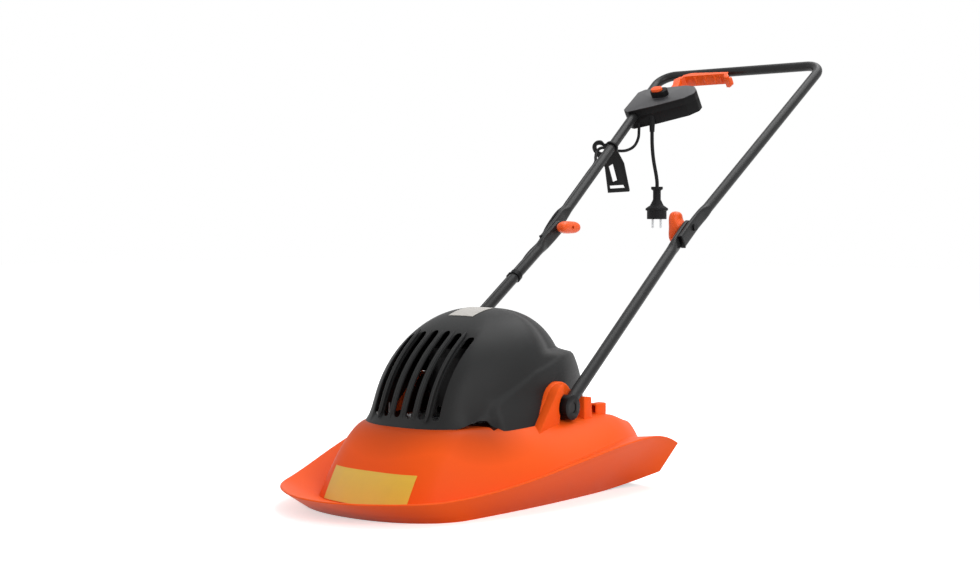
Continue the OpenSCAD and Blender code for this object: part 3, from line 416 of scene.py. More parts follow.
def pressed(name, line, normal, flat, end=1.0):
    """Handle tube along a line, round where flat is 0 and flat where it is 1; end draws in its height."""
    line = np.array(line, float)
    flat = np.broadcast_to(flat, len(line))[:, None]
    end = np.broadcast_to(end, len(line))[:, None]
    away = np.gradient(line, axis=0)
    side = np.cross(away / np.linalg.norm(away, axis=1)[:, None], normal)
    turns = np.linspace(0, 2 * math.pi, 40, endpoint=False)
    power = 2 / lerp(2.0, 4.0, flat)
    across = lerp(TUBE_R, FLAT_THIN, flat) * rounded(np.cos(turns), power)
    height = lerp(TUBE_R, FLAT_WIDE, flat) * end * rounded(np.sin(turns), power)
    rings = line[:, None] + across[:, :, None] * side[:, None] + height[:, :, None] * np.array(normal)
    return loft(name, list(rings), line[0], line[-1])


def prism(name, outline, place, *spans):
    """Solids between two heights of a flat outline, one for each span; place maps (a, b, height)."""
    n = len(outline)
    points, faces = [], []
    for low, high in spans:
        k = len(points)
        points += [place(a, b, low) for a, b in outline] + [place(a, b, high) for a, b in outline]
        faces += [tuple(range(k, k + n)), tuple(range(k + n, k + 2 * n))]
        faces += [(k + i, k + (i + 1) % n, k + n + (i + 1) % n, k + n + i) for i in range(n)]
    return mesh_from(name, points, faces)


def arc(r, start, end, steps):
    """Points on a circle, between two angles in degrees."""
    turns = np.radians(np.linspace(start, end, steps))
    return [(r * math.cos(a), r * math.sin(a)) for a in turns]


def joined(name, meshes):
    """One mesh out of several."""
    work = bmesh.new()
    for mesh in meshes:
        work.from_mesh(mesh)
    out = bpy.data.meshes.new(name)
    work.to_mesh(out)
    work.free()
    return out


def side_place(a, b, x):
    """Outline drawn in the side view about the handle pivot."""
    return (x, a, PIVOT_Z + b)


def fin(foot, wider=0.0, rounder=0.0):
    """Side outline of a bracket's fin, down to its foot."""
    return [(-78 - wider, foot)] + arc(FIN_R + rounder, 152, 32, 30) + [(58 + wider, foot)]


def bolt_hole(radius, *spans):
    """Tool for the hole of a joint's bolt."""
    return prism("hole", arc(radius, 0, 345, 24), lambda a, b, x: (x, JOINT_Y + a, JOINT_Z + b), *spans)


def rounded_slot(width, low, high):
    """Upright slot with round ends, about x 0."""
    r = width / 2
    turns = np.linspace(0, math.pi, 10)
    top = [(r * math.cos(a), high - r + r * math.sin(a)) for a in turns]
    return top + [(-r * math.cos(a), low + r - r * math.sin(a)) for a in turns]


def piece(obj, body, slot, node, look=None):
    """Gives a finished object the material of its look or slot, hides the node it stands in for, and parents
    it to its body.
    """
    obj.data.materials.clear()
    obj.data.materials.append(finish(look or slot))
    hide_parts(node)
    if body:
        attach(obj, body)
    return obj


def dressed(node, body, slot, width, reshape=None, look=None):
    """Rounded copy of a node that stands in its place, reshaped first where that is asked for."""
    obj = new_object(node + "_look", bpy.data.objects[node].data.copy())
    work = bmesh.new()
    work.from_mesh(obj.data)
    bmesh.ops.remove_doubles(work, verts=work.verts, dist=1e-6)
    bmesh.ops.dissolve_limit(work, angle_limit=math.radians(1.0), verts=work.verts, edges=work.edges)
    if reshape:
        reshape(work)
    work.to_mesh(obj.data)
    work.free()
    return piece(shade(bevelled(obj, width)), body, slot, node, look)


# Materials
class Value:
    """Shader socket with plain arithmetic."""

    def __init__(self, shader, socket):
        self.shader = shader
        self.socket = socket

    def maths(self, operation, *others):
        """Result of a maths node with this value first."""
        return self.shader.maths(operation, self, *others)

    def share(self):
        """This value kept between 0 and 1."""
        return self.maths("MINIMUM", 1.0).maths("MAXIMUM", 0.0)

    def __add__(self, other):
        return self.maths("ADD", other)

    __radd__ = __add__

    def __sub__(self, other):
        return self.maths("SUBTRACT", other)

    def __rsub__(self, other):
        return self.shader.maths("SUBTRACT", other, self)

    def __mul__(self, other):
        return self.maths("MULTIPLY", other)

    def __truediv__(self, other):
        return self.maths("DIVIDE", other)


class Shader:
    """Nodes of one procedural material or world."""

    def __init__(self, name, kind="materials"):
        self.owner = getattr(bpy.data, kind).new(name)
        self.owner.use_nodes = True
        self.tree = self.owner.node_tree
        self.tree.nodes.clear()

    def node(self, kind, inputs=(), out=0, **settings):
        """Adds a node, fills its inputs and returns one output."""
        made = self.tree.nodes.new(kind)
        for key, value in settings.items():
            setattr(made, key, value)
        for key, value in dict(inputs).items():
            if isinstance(value, Value):
                self.tree.links.new(value.socket, made.inputs[key])
            else:
                made.inputs[key].default_value = value
        return Value(self, made.outputs[out]) if len(made.outputs) else made

    def maths(self, operation, *values):
        """Maths node over up to three values."""
        return self.node("ShaderNodeMath", dict(enumerate(values)), operation=operation)

    def place(self):
        """Object coordinates, in metres."""
        return self.node("ShaderNodeTexCoord", out="Object")

    def axes(self):
        """Object coordinates along x, y and z."""
        place = self.place()
        return [self.node("ShaderNodeSeparateXYZ", {"Vector": place}, out=i) for i in range(3)]

    def seen(self):
        """1 for rays from the camera, in reflections and through clear pieces, else 0."""
        most = self.node("ShaderNodeLightPath", out="Is Camera Ray")
        for name in ("Is Glossy Ray", "Is Transmission Ray"):
            most = most.maths("MAXIMUM", self.node("ShaderNodeLightPath", out=name))
        return most

    def noise(self, scale, detail):
        """Noise from 0 to 1."""
        inputs = {"Vector": self.place(), "Scale": scale, "Detail": detail, "Roughness": 0.55}
        return self.node("ShaderNodeTexNoise", inputs)

    def blend(self, factor, first, second):
        """Colour between two colours."""
        inputs = {0: factor, 6: first, 7: second}
        return self.node("ShaderNodeMix", inputs, out=2, data_type="RGBA")

    def bump(self, height, strength, distance):
        """Normal of a height in metres."""
        return self.node("ShaderNodeBump", {"Height": height, "Strength": strength, "Distance": distance})

    def surface(self, colour, rough, normal, metal=0.0, specular=0.5, coat=0.0):
        """Ends the material in one principled surface."""
        inputs = {"Base Color": colour, "Roughness": rough, "Normal": normal, "Metallic": metal}
        inputs.update({"Specular IOR Level": specular, "Coat Weight": coat, "Coat Roughness": 0.35})
        self.node("ShaderNodeOutputMaterial", {"Surface": self.node("ShaderNodeBsdfPrincipled", inputs)})
        return self.owner


def rgba(colour, scale):
    """Property colour, scaled, as a socket value."""
    return (*(c * scale for c in colour), 1.0)


def worn(rough, fine, broad):
    """Roughness that varies with the grain and, more slowly, with wear."""
    return rough + (fine - 0.5) * 0.14 + (broad - 0.5) * 0.12


def moulded(name, colour, rough, grain, depth, deep, specular):
    """Moulded plastic: broad tone drift, fine grain in the gloss and the normal."""
    s = Shader(name)
    broad = s.noise(11.0, 4.0)
    fine = s.noise(grain, 2.0)
    tone = s.blend(broad, rgba(colour, deep), rgba(colour, 2.0 - deep))
    return s.surface(tone, worn(rough, fine, broad), s.bump(fine, depth, 0.0002), specular=specular)


def shell_plastic_with_painted_shade(name, colour, rough):
    """Deck's plastic: duller under the hood, where its colour is darkened as painted shade, with a painted
    shadow just ahead of the hood's edge.
    """
    s = Shader(name)
    broad = s.noise(11.0, 4.0)
    fine = s.noise(700.0, 2.0)
    x, y, z = s.axes()
    behind = y - (HOOD_Y - 28 - MID_Y) * MM
    apart = x * x / 0.0135 + behind * behind / 0.0210 - 1.0
    beside = x.maths("ABSOLUTE").maths("LESS_THAN", 0.1215) * behind.maths("ABSOLUTE").maths("LESS_THAN", 0.1)
    # Roof inside the hood and beside the bracket fins: darkened below as painted shade, and made rougher.
    under = (apart * -12.0).share().maths("MAXIMUM", beside) * z.maths("GREATER_THAN", 0.108)
    # Dome ahead of the hood, where a painted shadow is laid.
    ahead = ((y + 0.32) * -16.0).share() * z.maths("GREATER_THAN", 0.06)
    tone = s.blend(broad, rgba(colour, 0.96), rgba(colour, 1.04))
    # Painted shadow: darkest at the hood's edge and fading outward over a few centimetres.
    tone = s.blend(((apart - 1.4) * -1.2).share() * ahead, tone, rgba(colour, 0.5))
    # Painted shade: the roof inside the hood turns near black.
    tone = s.blend(under, tone, rgba(colour, 0.03))
    return s.surface(tone, worn(rough, fine, broad) + under * 0.3, s.bump(fine, 0.12, 0.0002), specular=0.08)


def case_plastic_with_painted_highlight(name, colour, rough):
    """Finely grained black plastic of the switch box; its roof is painted paler as a painted highlight, and
    is rougher and coated there.
    """
    s = Shader(name)
    broad = s.noise(18.0, 4.0)
    fine = s.noise(1300.0, 2.0)
    _, y, z = s.axes()
    along = y + (MID_Y - JOINT_Y) * MM
    level = (z - JOINT_Z * MM) * math.cos(UPPER_TILT) - along * math.sin(UPPER_TILT)
    # Band of the box's roof, painted paler as a painted highlight where the light from above falls.
    roof = level.maths("GREATER_THAN", 0.0147) * level.maths("LESS_THAN", 0.0170)
    tone = s.blend(broad, rgba(colour, 0.9), rgba(colour, 1.1))
    # Painted highlight on the roof.
    tone = s.blend(roof, tone, rgba(colour, 8.0))
    gloss = worn(rough, fine, broad) + roof * 0.12
    return s.surface(tone, gloss, s.bump(fine, 0.2, 0.0002), specular=0.1, coat=roof * 0.7)


def painted(name, colour, rough, specular):
    """Powder paint with orange peel and thin wear."""
    s = Shader(name)
    peel = s.noise(420.0, 2.0)
    broad = s.noise(14.0, 5.0)
    tone = s.blend(broad, rgba(colour, 0.82), rgba(colour, 1.18))
    gloss = rough + (broad - 0.5) * 0.22 + (peel - 0.5) * 0.1
    return s.surface(tone, gloss, s.bump(peel, 0.22, 0.0003), specular=specular, coat=broad * 0.1)


def metal(name, colour, rough, scale=260.0):
    """Bare metal with drawn streaks."""
    s = Shader(name)
    streak = s.noise(scale, 3.0)
    broad = s.noise(24.0, 3.0)
    tone = s.blend(streak, rgba(colour, 0.8), rgba(colour, 1.1))
    gloss = rough + (streak - 0.5) * 0.2 + (broad - 0.5) * 0.12
    return s.surface(tone, gloss, s.bump(streak, 0.12, 0.0002), metal=1.0 - broad * 0.08)


def film(name, colour, rough):
    """Printed film, slightly mottled."""
    s = Shader(name)
    mottle = s.noise(60.0, 4.0)
    fine = s.noise(1500.0, 2.0)
    tone = s.blend(mottle, rgba(colour, 0.95), rgba(colour, 1.05))
    gloss = rough + (mottle - 0.5) * 0.16
    return s.surface(tone, gloss, s.bump(fine, 0.08, 0.0001))


FINISHES = {}


def finish(name):
    """Material of a finish, made once from the colour properties."""
    if name in FINISHES:
        return FINISHES[name]
    paint = bpy.context.scene.mower_paint
    made = {
        "orange_shell": (shell_plastic_with_painted_shade, "Orange shell", paint.orange, 0.45),
        "orange_plastic": (moulded, "Orange plastic", paint.orange, 0.38, 900.0, 0.12, 0.95, 0.3),
        "hood_grey": (moulded, "Grey hood", paint.hood, 0.5, 1100.0, 0.4, 0.9, 0.18),
        "black_plastic": (moulded, "Black plastic", paint.black, 0.34, 1200.0, 0.15, 0.88, 0.1),
        "case_plastic_with_painted_highlight": (case_plastic_with_painted_highlight, "Switch case", paint.black, 0.4),
        "black_metal": (painted, "Black metal", paint.black, 0.4, 0.15),
        "tube_paint": (painted, "Tube paint", paint.tube, 0.36, 0.16),
        "steel": (metal, "Zinc steel", paint.steel, 0.3),
        "iron": (metal, "Core iron", paint.iron, 0.5, 600.0),
        "brass_fittings": (metal, "Brass", paint.brass, 0.25),
        "rubber_black": (moulded, "Black rubber", paint.rubber, 0.6, 1400.0, 0.3, 0.88, 0.12),
        "yellow_label": (film, "Yellow label", paint.yellow, 0.42),
        "grey_label": (film, "Grey label", paint.label, 0.4),
    }
    maker, *values = made[name]
    FINISHES[name] = maker(*values)
    return FINISHES[name]


def size_property(name, description, default):
    """Length property, in metres."""
    return FloatProperty(
        name=name, description=description, default=default, unit="LENGTH", subtype="DISTANCE"
    )


def colour_property(name, description, *default):
    """Colour property, in linear light."""
    return FloatVectorProperty(
        name=name, description=description, subtype="COLOR", size=3, default=default, min=0, max=1
    )


class MowerSizes(PropertyGroup):
    """Sizes of the visible details."""

    slot_count: IntProperty(
        name="Grille slots", description="Air slots in the hood's front", default=6, min=3, max=9
    )
    slot_width: size_property("Slot width", "Width of an air slot", 0.013)
    slot_pitch: size_property("Slot pitch", "Distance between air slots", 0.023)
    lead_diameter: size_property("Lead diameter", "Diameter of the motor lead", 0.006)
    cord_diameter: size_property("Cord diameter", "Diameter of the mains cord", 0.0075)
    edge_round: size_property("Edge rounding", "Radius on moulded edges", 0.0014)


class MowerPaint(PropertyGroup):
    """Colours of the finishes, in linear light."""

    orange: colour_property("Orange", "Deck, knobs, lever and button", 0.84, 0.098, 0.010)
    hood: colour_property("Hood grey", "Motor hood", 0.0120, 0.0123, 0.0125)
    tube: colour_property("Tube grey", "Handle tubes", 0.018, 0.0183, 0.0188)
    black: colour_property("Black", "Switch box, hook and feet", 0.005, 0.005, 0.0054)
    rubber: colour_property("Rubber", "Cord, lead and plug", 0.011, 0.011, 0.012)
    yellow: colour_property("Yellow", "Front label", 0.70, 0.46, 0.035)
    label: colour_property("Label grey", "Hood label", 0.46, 0.44, 0.41)
    steel: colour_property("Steel", "Screws, shafts, blade and plug pins", 0.56, 0.57, 0.58)
    iron: colour_property("Iron", "Motor cores", 0.13, 0.12, 0.115)
    brass: colour_property("Brass", "Brush holders and commutator", 0.72, 0.52, 0.24)
    floor: colour_property("Floor", "Studio floor", 0.90, 0.90, 0.90)


class MOWER_OT_deck(Operator):
    """Build the deck's shell with its brackets"""

    bl_idname = "mower.deck"
    bl_label = "Deck"

    def execute(self, context):
        """Lofts the shell, and adds the handle brackets, stops and lugs."""
        low, high, edge, trough = skirt_ring(0), rim_ring(0, 1.8), rim_ring(3.2, 0.1), dome_ring(0)
        outer = [skirt_ring(0.6), low]
        outer += [lerp(low, high, t) for t in (0.02, 0.2, 0.4, 0.6, 0.8)]
        outer += [high, rim_ring(0.25, 0.9), rim_ring(0.9, 0.25), rim_ring(2, 0), edge]
        outer += [lerp(edge, trough, t) for t in (0.1, 0.3, 0.5, 0.7, 0.85, 0.95)]
        outer += [dome_ring(q) for q in 1 - (1 - np.linspace(0, 1, 19)) ** 1.15]
        outer += [seat_ring(0), disc_ring(MOUNT_R, ROOF_Z)]
        outer += [disc_ring(INTAKE_R + 0.5, ROOF_Z), disc_ring(INTAKE_R, ROOF_Z - 0.5)]
        inner = [disc_ring(r, ROOF_Z - ROOF_WALL) for r in (INTAKE_R, MOUNT_R)] + [seat_ring(ROOF_WALL)]
        inner += [dome_ring(q, 1.8) - np.array([0, 0, 3.3]) for q in np.linspace(1, 0, 9)]
        inner += [rim_ring(9, 6), skirt_ring(3)]
        shell = new_object("deck_shell", loft("deck_shell", [whole(r) for r in outer + inner]))
        piece(shade(shell, 28), "base", "orange_shell", "deck")
        for name, sign in (("left", 1), ("right", -1)):
            self.bracket(name, sign)
        return {"FINISHED"}

    def bracket(self, name, sign):
        """Fin and cheek that carry the handle pivot, with the stop under the tube and the lug behind it."""
        shapes = {
            "bracket_": (fin(BRACKET_FOOT), BRACKET_IN, BRACKET_OUT, 0.003),
            "cheek_": (self.cheek(), BRACKET_OUT - 1, BRACKET_OUT + 15, 0.002),
            "low_stop_": (self.stop(), BRACKET_OUT - 1, BRACKET_OUT + 21, 0.0015),
            "lug_": ([(84, -39), (84, -3), (112, -3), (112, -39)], 140, 156, 0.0025),
        }
        for stem, (outline, low, high, edge) in shapes.items():
            obj = new_object(stem + name, prism(stem + name, outline, side_place, (sign * low, sign * high)))
            bevelled(obj, edge)
            if stem == "lug_":
                hole = [(80, -17), (80, -6), (98, -6), (98, -17)]
                cut(obj, prism("hole", hole, side_place, (sign * 143, sign * 153)))
            piece(shade(obj), "base", "orange_shell", "deck")

    def cheek(self):
        """Outline of the cheek round the front of the pivot foot."""
        round_foot = arc(23, 118.6, 210, 16)
        return [(-78, BRACKET_FOOT)] + arc(FIN_R, 152, 106.8, 16) + round_foot + [(-24, BRACKET_FOOT)]

    def stop(self):
        """Outline of the rest under the tube."""
        slope = math.tan(LOWER_TILT)
        top = 36 * slope - 9.8 / math.cos(LOWER_TILT)
        return [(36, BRACKET_FOOT), (36, top), (56, top + 20 * slope - 16), (60, BRACKET_FOOT)]


class MOWER_OT_hood(Operator):
    """Build the motor hood with its air slots"""

    bl_idname = "mower.hood"
    bl_label = "Hood"

    def execute(self, context):
        """Lofts the hood's two skins, opens the slots and room for the brackets, and adds the ribs."""
        sizes = context.scene.mower_sizes
        levels = list(np.linspace(0, 0.9, 46)) + [0.915, 0.93, 0.945, 0.96, 0.972, 0.982, 0.99, 0.996]
        inner = list(np.linspace(0, 0.9, 16)) + [0.94, 0.97, 0.99]
        rings = [whole(hood_ring(h, HOOD_WALL)) for h in inner[::-1]]
        rings += [whole(hood_ring(h, 0)) for h in levels]
        mesh = loft("hood_shell", rings, [0, HOOD_Y, HOOD_TOP - HOOD_WALL], [0, HOOD_Y, HOOD_TOP])
        hood = new_object("hood_shell", mesh)
        tools = [self.slot(sizes, k) for k in range(sizes.slot_count)]
        tools.append(prism("room", fin(-50, 0.8, 0.6), side_place, (119.1, 190), (-119.1, -190)))
        cut(hood, joined("openings", tools))
        piece(shade(hood, 42), "base", "hood_grey", "hood")
        self.ribs(sizes)
        return {"FINISHED"}

    def slot(self, sizes, k):
        """Tool for one air slot; the outer slots end lower."""
        width, pitch = sizes.slot_width * 1000, sizes.slot_pitch * 1000
        x = (k - (sizes.slot_count - 1) / 2) * pitch
        shape = rounded_slot(width, SLOT_FOOT, SLOT_TOP - 12 * (2 * abs(x) / (pitch * sizes.slot_count)) ** 2)
        return prism("slot", shape, lambda a, b, d: (x + a, d, b), (-230, -40))

    def ribs(self, sizes):
        """Rounded bars on the webs between the slots, repeated by a node tree."""
        line = np.array([hood_ring(h, 0)[0] for h in np.linspace(0.06, 0.81, 40)]) + np.array([0, 1.4, 0])
        line[:, 0] = 0
        radii = np.interp(np.arange(40), [0, 3, 36, 39], [1, 3, 3, 1])
        bar = new_object("grille_ribs", tube("grille_ribs", line, radii))
        number = sizes.slot_count - 1
        values = {
            "Count": ("NodeSocketInt", number),
            "Pitch": ("NodeSocketVector", (sizes.slot_pitch, 0.0, 0.0)),
            "Start": ("NodeSocketVector", (-(number - 1) / 2 * sizes.slot_pitch, 0.0, 0.0)),
            "Material": ("NodeSocketMaterial", finish("hood_grey")),
        }
        mod = bar.modifiers.new("Ribs", "NODES")
        mod.node_group = self.rib_tree({name: kind for name, (kind, _) in values.items()})
        for item in mod.node_group.interface.items_tree:
            if item.name in values:
                mod[item.identifier] = values[item.name][1]
        piece(shade(baked(bar), 60), "base", "hood_grey", "hood")

    def rib_tree(self, kinds):
        """Node tree that sets one rib along a line, with inputs of the given kinds."""
        group = bpy.data.node_groups.new("Row of ribs", "GeometryNodeTree")
        group.interface.new_socket("Rib", in_out="INPUT", socket_type="NodeSocketGeometry")
        for name, kind in kinds.items():
            group.interface.new_socket(name, in_out="INPUT", socket_type=kind)
        group.interface.new_socket("Ribs", in_out="OUTPUT", socket_type="NodeSocketGeometry")
        source = group.nodes.new("NodeGroupInput")
        row = group.nodes.new("GeometryNodeMeshLine")
        spread = group.nodes.new("GeometryNodeInstanceOnPoints")
        real = group.nodes.new("GeometryNodeRealizeInstances")
        coat = group.nodes.new("GeometryNodeSetMaterial")
        out = group.nodes.new("NodeGroupOutput")
        links = (
            (source, "Count", row, "Count"),
            (source, "Pitch", row, "Offset"),
            (source, "Start", row, "Start Location"),
            (row, "Mesh", spread, "Points"),
            (source, "Rib", spread, "Instance"),
            (spread, "Instances", real, "Geometry"),
            (real, "Geometry", coat, "Geometry"),
            (source, "Material", coat, "Material"),
            (coat, "Geometry", out, "Ribs"),
        )
        for start, output, end, key in links:
            group.links.new(start.outputs[output], end.inputs[key])
        return group


class MOWER_OT_labels(Operator):
    """Lay the blank labels on the deck and the hood"""

    bl_idname = "mower.labels"
    bl_label = "Labels"

    def execute(self, context):
        """Drops two thin films on the skins below them."""
        xs = np.linspace(-FRONT_LABEL_HALF, FRONT_LABEL_HALF, 61)
        rows = [self.front_row(xs, q) for q in np.linspace(0.006, 0.29, 15)]
        self.film("front_label", rows, np.array([0, -0.8, 0.6]), "yellow_label")
        skin = BVHTree.FromObject(bpy.data.objects["hood_shell"], context.evaluated_depsgraph_get())
        xs = np.linspace(-HOOD_LABEL_HALF, HOOD_LABEL_HALF, 17)
        rows = [self.crown_row(skin, xs, y) for y in np.linspace(-66, -14, 25)]
        self.film("hood_label", rows, np.array([0, 0, 1.0]), "grey_label")
        return {"FINISHED"}

    def crown_row(self, skin, xs, y):
        """Points of the hood's crown along one row of its label."""
        row = []
        for x in xs:
            start = Vector(metres([[x, y, HOOD_TOP + 33]])[0])
            found = skin.ray_cast(start, Vector((0, 0, -1)))[0]
            if found is None:
                raise RuntimeError("the hood has no skin under its label")
            row.append([x, y, found.z * 1000])
        return np.array(row)

    def front_row(self, xs, q):
        """Points of the dome's front at the height share q."""
        angles = np.linspace(0, math.pi / 2 - 1e-6, 400)
        ax, ay = nose_xy(FOOT, angles)
        bx, by = nose_xy(CREST, angles)
        x = lerp(ax, bx, q)
        z = lerp(foot_z(ay), crest_z(by), dome_rise(q))
        y = lerp(ay, by, q)
        return np.column_stack([xs, np.interp(abs(xs), x, y), np.interp(abs(xs), x, z)])

    def film(self, name, rows, away, slot):
        """Thin closed film over rows of points."""
        m, n = len(rows), len(rows[0])
        grid = np.vstack(rows)
        points = np.vstack([grid + 0.3 * away, grid + 1.0 * away])
        corners = [r * n + c for r in range(m - 1) for c in range(n - 1)]
        cells = [(i, i + 1, i + n + 1, i + n) for i in corners]
        k = m * n
        faces = [tuple(reversed(f)) for f in cells] + [tuple(k + i for i in f) for f in cells]
        ring = list(range(n)) + [r * n + n - 1 for r in range(1, m)]
        ring += [(m - 1) * n + c for c in range(n - 2, -1, -1)] + [r * n for r in range(m - 2, 0, -1)]
        faces += [(a, b, k + b, k + a) for a, b in zip(ring, ring[1:] + ring[:1])]
        obj = new_object(name + "_look", mesh_from(name, points, faces))
        piece(shade(obj, 40), "base", slot, name)


class MOWER_OT_handle(Operator):
    """Build the handle's tubes, knobs and fittings"""

    bl_idname = "mower.handle"
    bl_label = "Handle"

    def execute(self, context):
        """Sweeps the tubes, builds the knobs, and rounds the feet, the plugs and the hook."""
        edge = context.scene.mower_sizes.edge_round
        self.lower_tube("left", 1)
        self.lower_tube("right", -1)
        self.upper_tube()
        self.knob("left", 1, turned=0, half=16, reach=28)
        self.knob("right", -1, turned=90, half=11.5, reach=30)
        for side in ("left", "right"):
            dressed("pivot_foot_" + side, "lower_handle", "black_plastic", edge)
        dressed("end_plugs", "upper_frame", "black_plastic", edge * 0.6)
        dressed("cord_hook", "upper_frame", "black_plastic", edge * 0.7, self.wider_eye)
        return {"FINISHED"}

    def wider_eye(self, work):
        """Opens the hook's eye for the lead, and widens its rim."""
        middle = -UPPER_HALF - HOOK_S * math.sin(LEG_SPREAD) - 25
        for v in work.verts:
            x, _, z = handle_spot(v.co)
            a, b = x - middle, z + 1
            r = math.hypot(a, b)
            if a < 12.5 and b > -17 and r > 1:
                grow = 2.4 if r < 10 else 6.5 * ramp(a, 12, 4)
                v.co += (ACROSS * a + OUTWARD * b) * (grow / r * MM)

    def knob(self, name, sign, turned, half, reach):
        """Wing nut of a joint: one soft body across two wings, with its half thickness and its reach."""
        c, t = math.cos(math.radians(turned)), math.sin(math.radians(turned))
        turns = np.linspace(0, 2 * math.pi, 28, endpoint=False)
        rings = []
        for u in np.sin(np.linspace(-1.45, 1.45, 31)):
            thick = half * (1 - abs(u) ** 3.2) ** 0.5
            far = lerp(KNOB_OUT, KNOB_OUT - 8, ramp(abs(u), 0, 0.6))
            deep = (far - KNOB_IN) / 2 * (1 - abs(u) ** 9) ** 0.5
            x = (KNOB_IN + far) / 2 + deep * rounded(np.sin(turns), 0.75)
            a = thick * rounded(np.cos(turns), 0.85)
            b = np.full(len(turns), reach * u)
            rings.append(np.column_stack([sign * x, JOINT_Y + a * c - b * t, JOINT_Z + a * t + b * c]))
        node = "wing_knob_" + name
        obj = new_object(node + "_look", loft(node, rings, rings[0].mean(0), rings[-1].mean(0)))
        cut(obj, bolt_hole(KNOB_HOLE, (sign * 80, sign * 150)))
        piece(shade(obj, 45), "knob_" + name, "orange_plastic", node)

    def lower_tube(self, name, sign):
        """Straight tube from a foot to a joint, its upper end pressed flat and rounded."""
        length = math.hypot(JOINT_Y, JOINT_Z - PIVOT_Z)
        spans = ((length - 11, 90, 12), (80, 40, 13), (30, 0, 4))
        tip = -FLAT_WIDE * np.sin(np.radians([15, 30, 45, 60, 72, 82]))
        before = np.concatenate([np.linspace(*span) for span in spans] + [tip])
        lean = (PIVOT_HALF - LOWER_HALF) / length
        x = LOWER_HALF + lean * before * ramp(before, 0, 60)
        c, s = math.cos(LOWER_TILT), math.sin(LOWER_TILT)
        line = np.column_stack([sign * x, JOINT_Y - before * c, JOINT_Z - before * s])
        end = np.sqrt(1 - (np.minimum(0, before) / FLAT_WIDE) ** 2)
        mesh = pressed("lower_tube_" + name, line, (0, -s, c), ramp(before, 75, 45), end)
        self.tube_piece("lower_tube_" + name, mesh, "lower_handle", (sign * 120, sign * 142.3))

    def upper_tube(self):
        """Legs, bends and crossbar in one sweep, the leg ends pressed flat."""
        tangent = BEND_R * math.tan(math.pi / 4 + LEG_SPREAD / 2)
        top = UPPER_LEN / math.cos(LEG_SPREAD) - tangent
        s = np.concatenate([np.linspace(*span) for span in ((-LEG_TAIL, 30, 6), (34, 62, 13), (75, top, 18))])
        lean = s * np.where(s > 62, 1.0, ramp(s, 0, 50))
        legs = np.column_stack([UPPER_HALF + math.sin(LEG_SPREAD) * lean, s * math.cos(LEG_SPREAD)])
        turns = np.linspace(-LEG_SPREAD, math.pi / 2, 18)[1:]
        centre = legs[-1] + BEND_R * np.array([-math.cos(LEG_SPREAD), math.sin(LEG_SPREAD)])
        bends = centre + BEND_R * np.column_stack([np.cos(turns), np.sin(turns)])
        bar = np.column_stack([np.linspace(bends[-1][0], 0, 8)[1:], np.full(7, UPPER_LEN)])
        half = np.vstack([legs, bends, bar])
        plan = np.vstack([half, half[-2::-1] * [-1, 1]])
        flat = np.zeros(len(half))
        flat[: len(s)] = ramp(s, 61, 35)
        line = [upper_point([x, y, 0]) for x, y in plan]
        normal = (0, -math.sin(UPPER_TILT), math.cos(UPPER_TILT))
        mesh = pressed("upper_handle", line, normal, np.concatenate([flat, flat[-2::-1]]))
        self.tube_piece("upper_handle", mesh, "upper_frame", (141.7, 160), (-141.7, -160))

    def tube_piece(self, node, mesh, body, *spans):
        """Finished tube with the joint bolt's holes."""
        obj = cut(new_object(node + "_look", mesh), bolt_hole(BOLT_HOLE, *spans))
        piece(shade(obj, 40), body, "tube_paint", node)


class MOWER_OT_switch(Operator):
    """Build the switch box, its lever and its button"""

    bl_idname = "mower.switch"
    bl_label = "Switch"

    def execute(self, context):
        """Rounds the switch pieces, and adds the lever's end and the button's spring."""
        edge = context.scene.mower_sizes.edge_round
        for half in ("switch_case_upper", "switch_case_lower"):
            dressed(half, "upper_frame", "black_plastic", edge * 1.6, self.wider_boss, "case_plastic_with_painted_highlight")
        dressed("switch_lever", "lever", "orange_plastic", edge * 0.6, self.longer_grip)
        self.bead()
        dressed("lock_button", "button", "orange_plastic", edge)
        self.spring()
        return {"FINISHED"}

    def spring(self):
        """Button's spring, copied from its node."""
        node = bpy.data.objects["button_spring"]
        obj = new_object("button_spring_look", node.data.copy())
        piece(obj, "upper_frame", "steel", node.name)
        a, b = BUTTON_A - TOP_HALF, UPPER_LEN - BUTTON_B
        foot, tip = (metres(upper_point([a, b, z]))[0] for z in (-4.5, 6.5))
        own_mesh(obj)

    def longer_grip(self, work):
        """Starts the lever's grip nearer the box, draws in its far end and lowers its upper edge."""
        for v in work.verts:
            x, y, _ = handle_spot(v.co)
            a, b = x + TOP_HALF, UPPER_LEN - y
            near = 20 * ramp(b, 58, 30) * ramp(a, 144, 104)
            far = 7 * ramp(a, 150, 178)
            low = (4 + 7 * ramp(a, 158, 178)) * ramp(b, 22, 10)
            v.co -= (ACROSS * (near + far) + ALONG * low) * MM

    def bead(self):
        """Round end of the lever's grip."""
        steps = np.linspace(-1, 1, 9)
        line = [upper_point([-4.0, UPPER_LEN - 39.0, 10 * k]) for k in steps]
        obj = new_object("lever_bead", tube("lever_bead", line, 5.2 * (1 - steps**6) ** 0.5 + 0.2))
        piece(shade(obj, 60), "lever", "orange_plastic", "switch_lever")

    def wider_boss(self, work):
        """Widens the button's collar toward the lever."""
        for v in work.verts:
            x, y, z = handle_spot(v.co)
            u, w = x + TOP_HALF - BUTTON_A, UPPER_LEN - y - BUTTON_B
            if z > 15 and 9.5 < math.hypot(max(abs(u) - 4, 0), w) < 13:
                v.co += ACROSS * (8 * ramp(u, -4, 10) * MM)


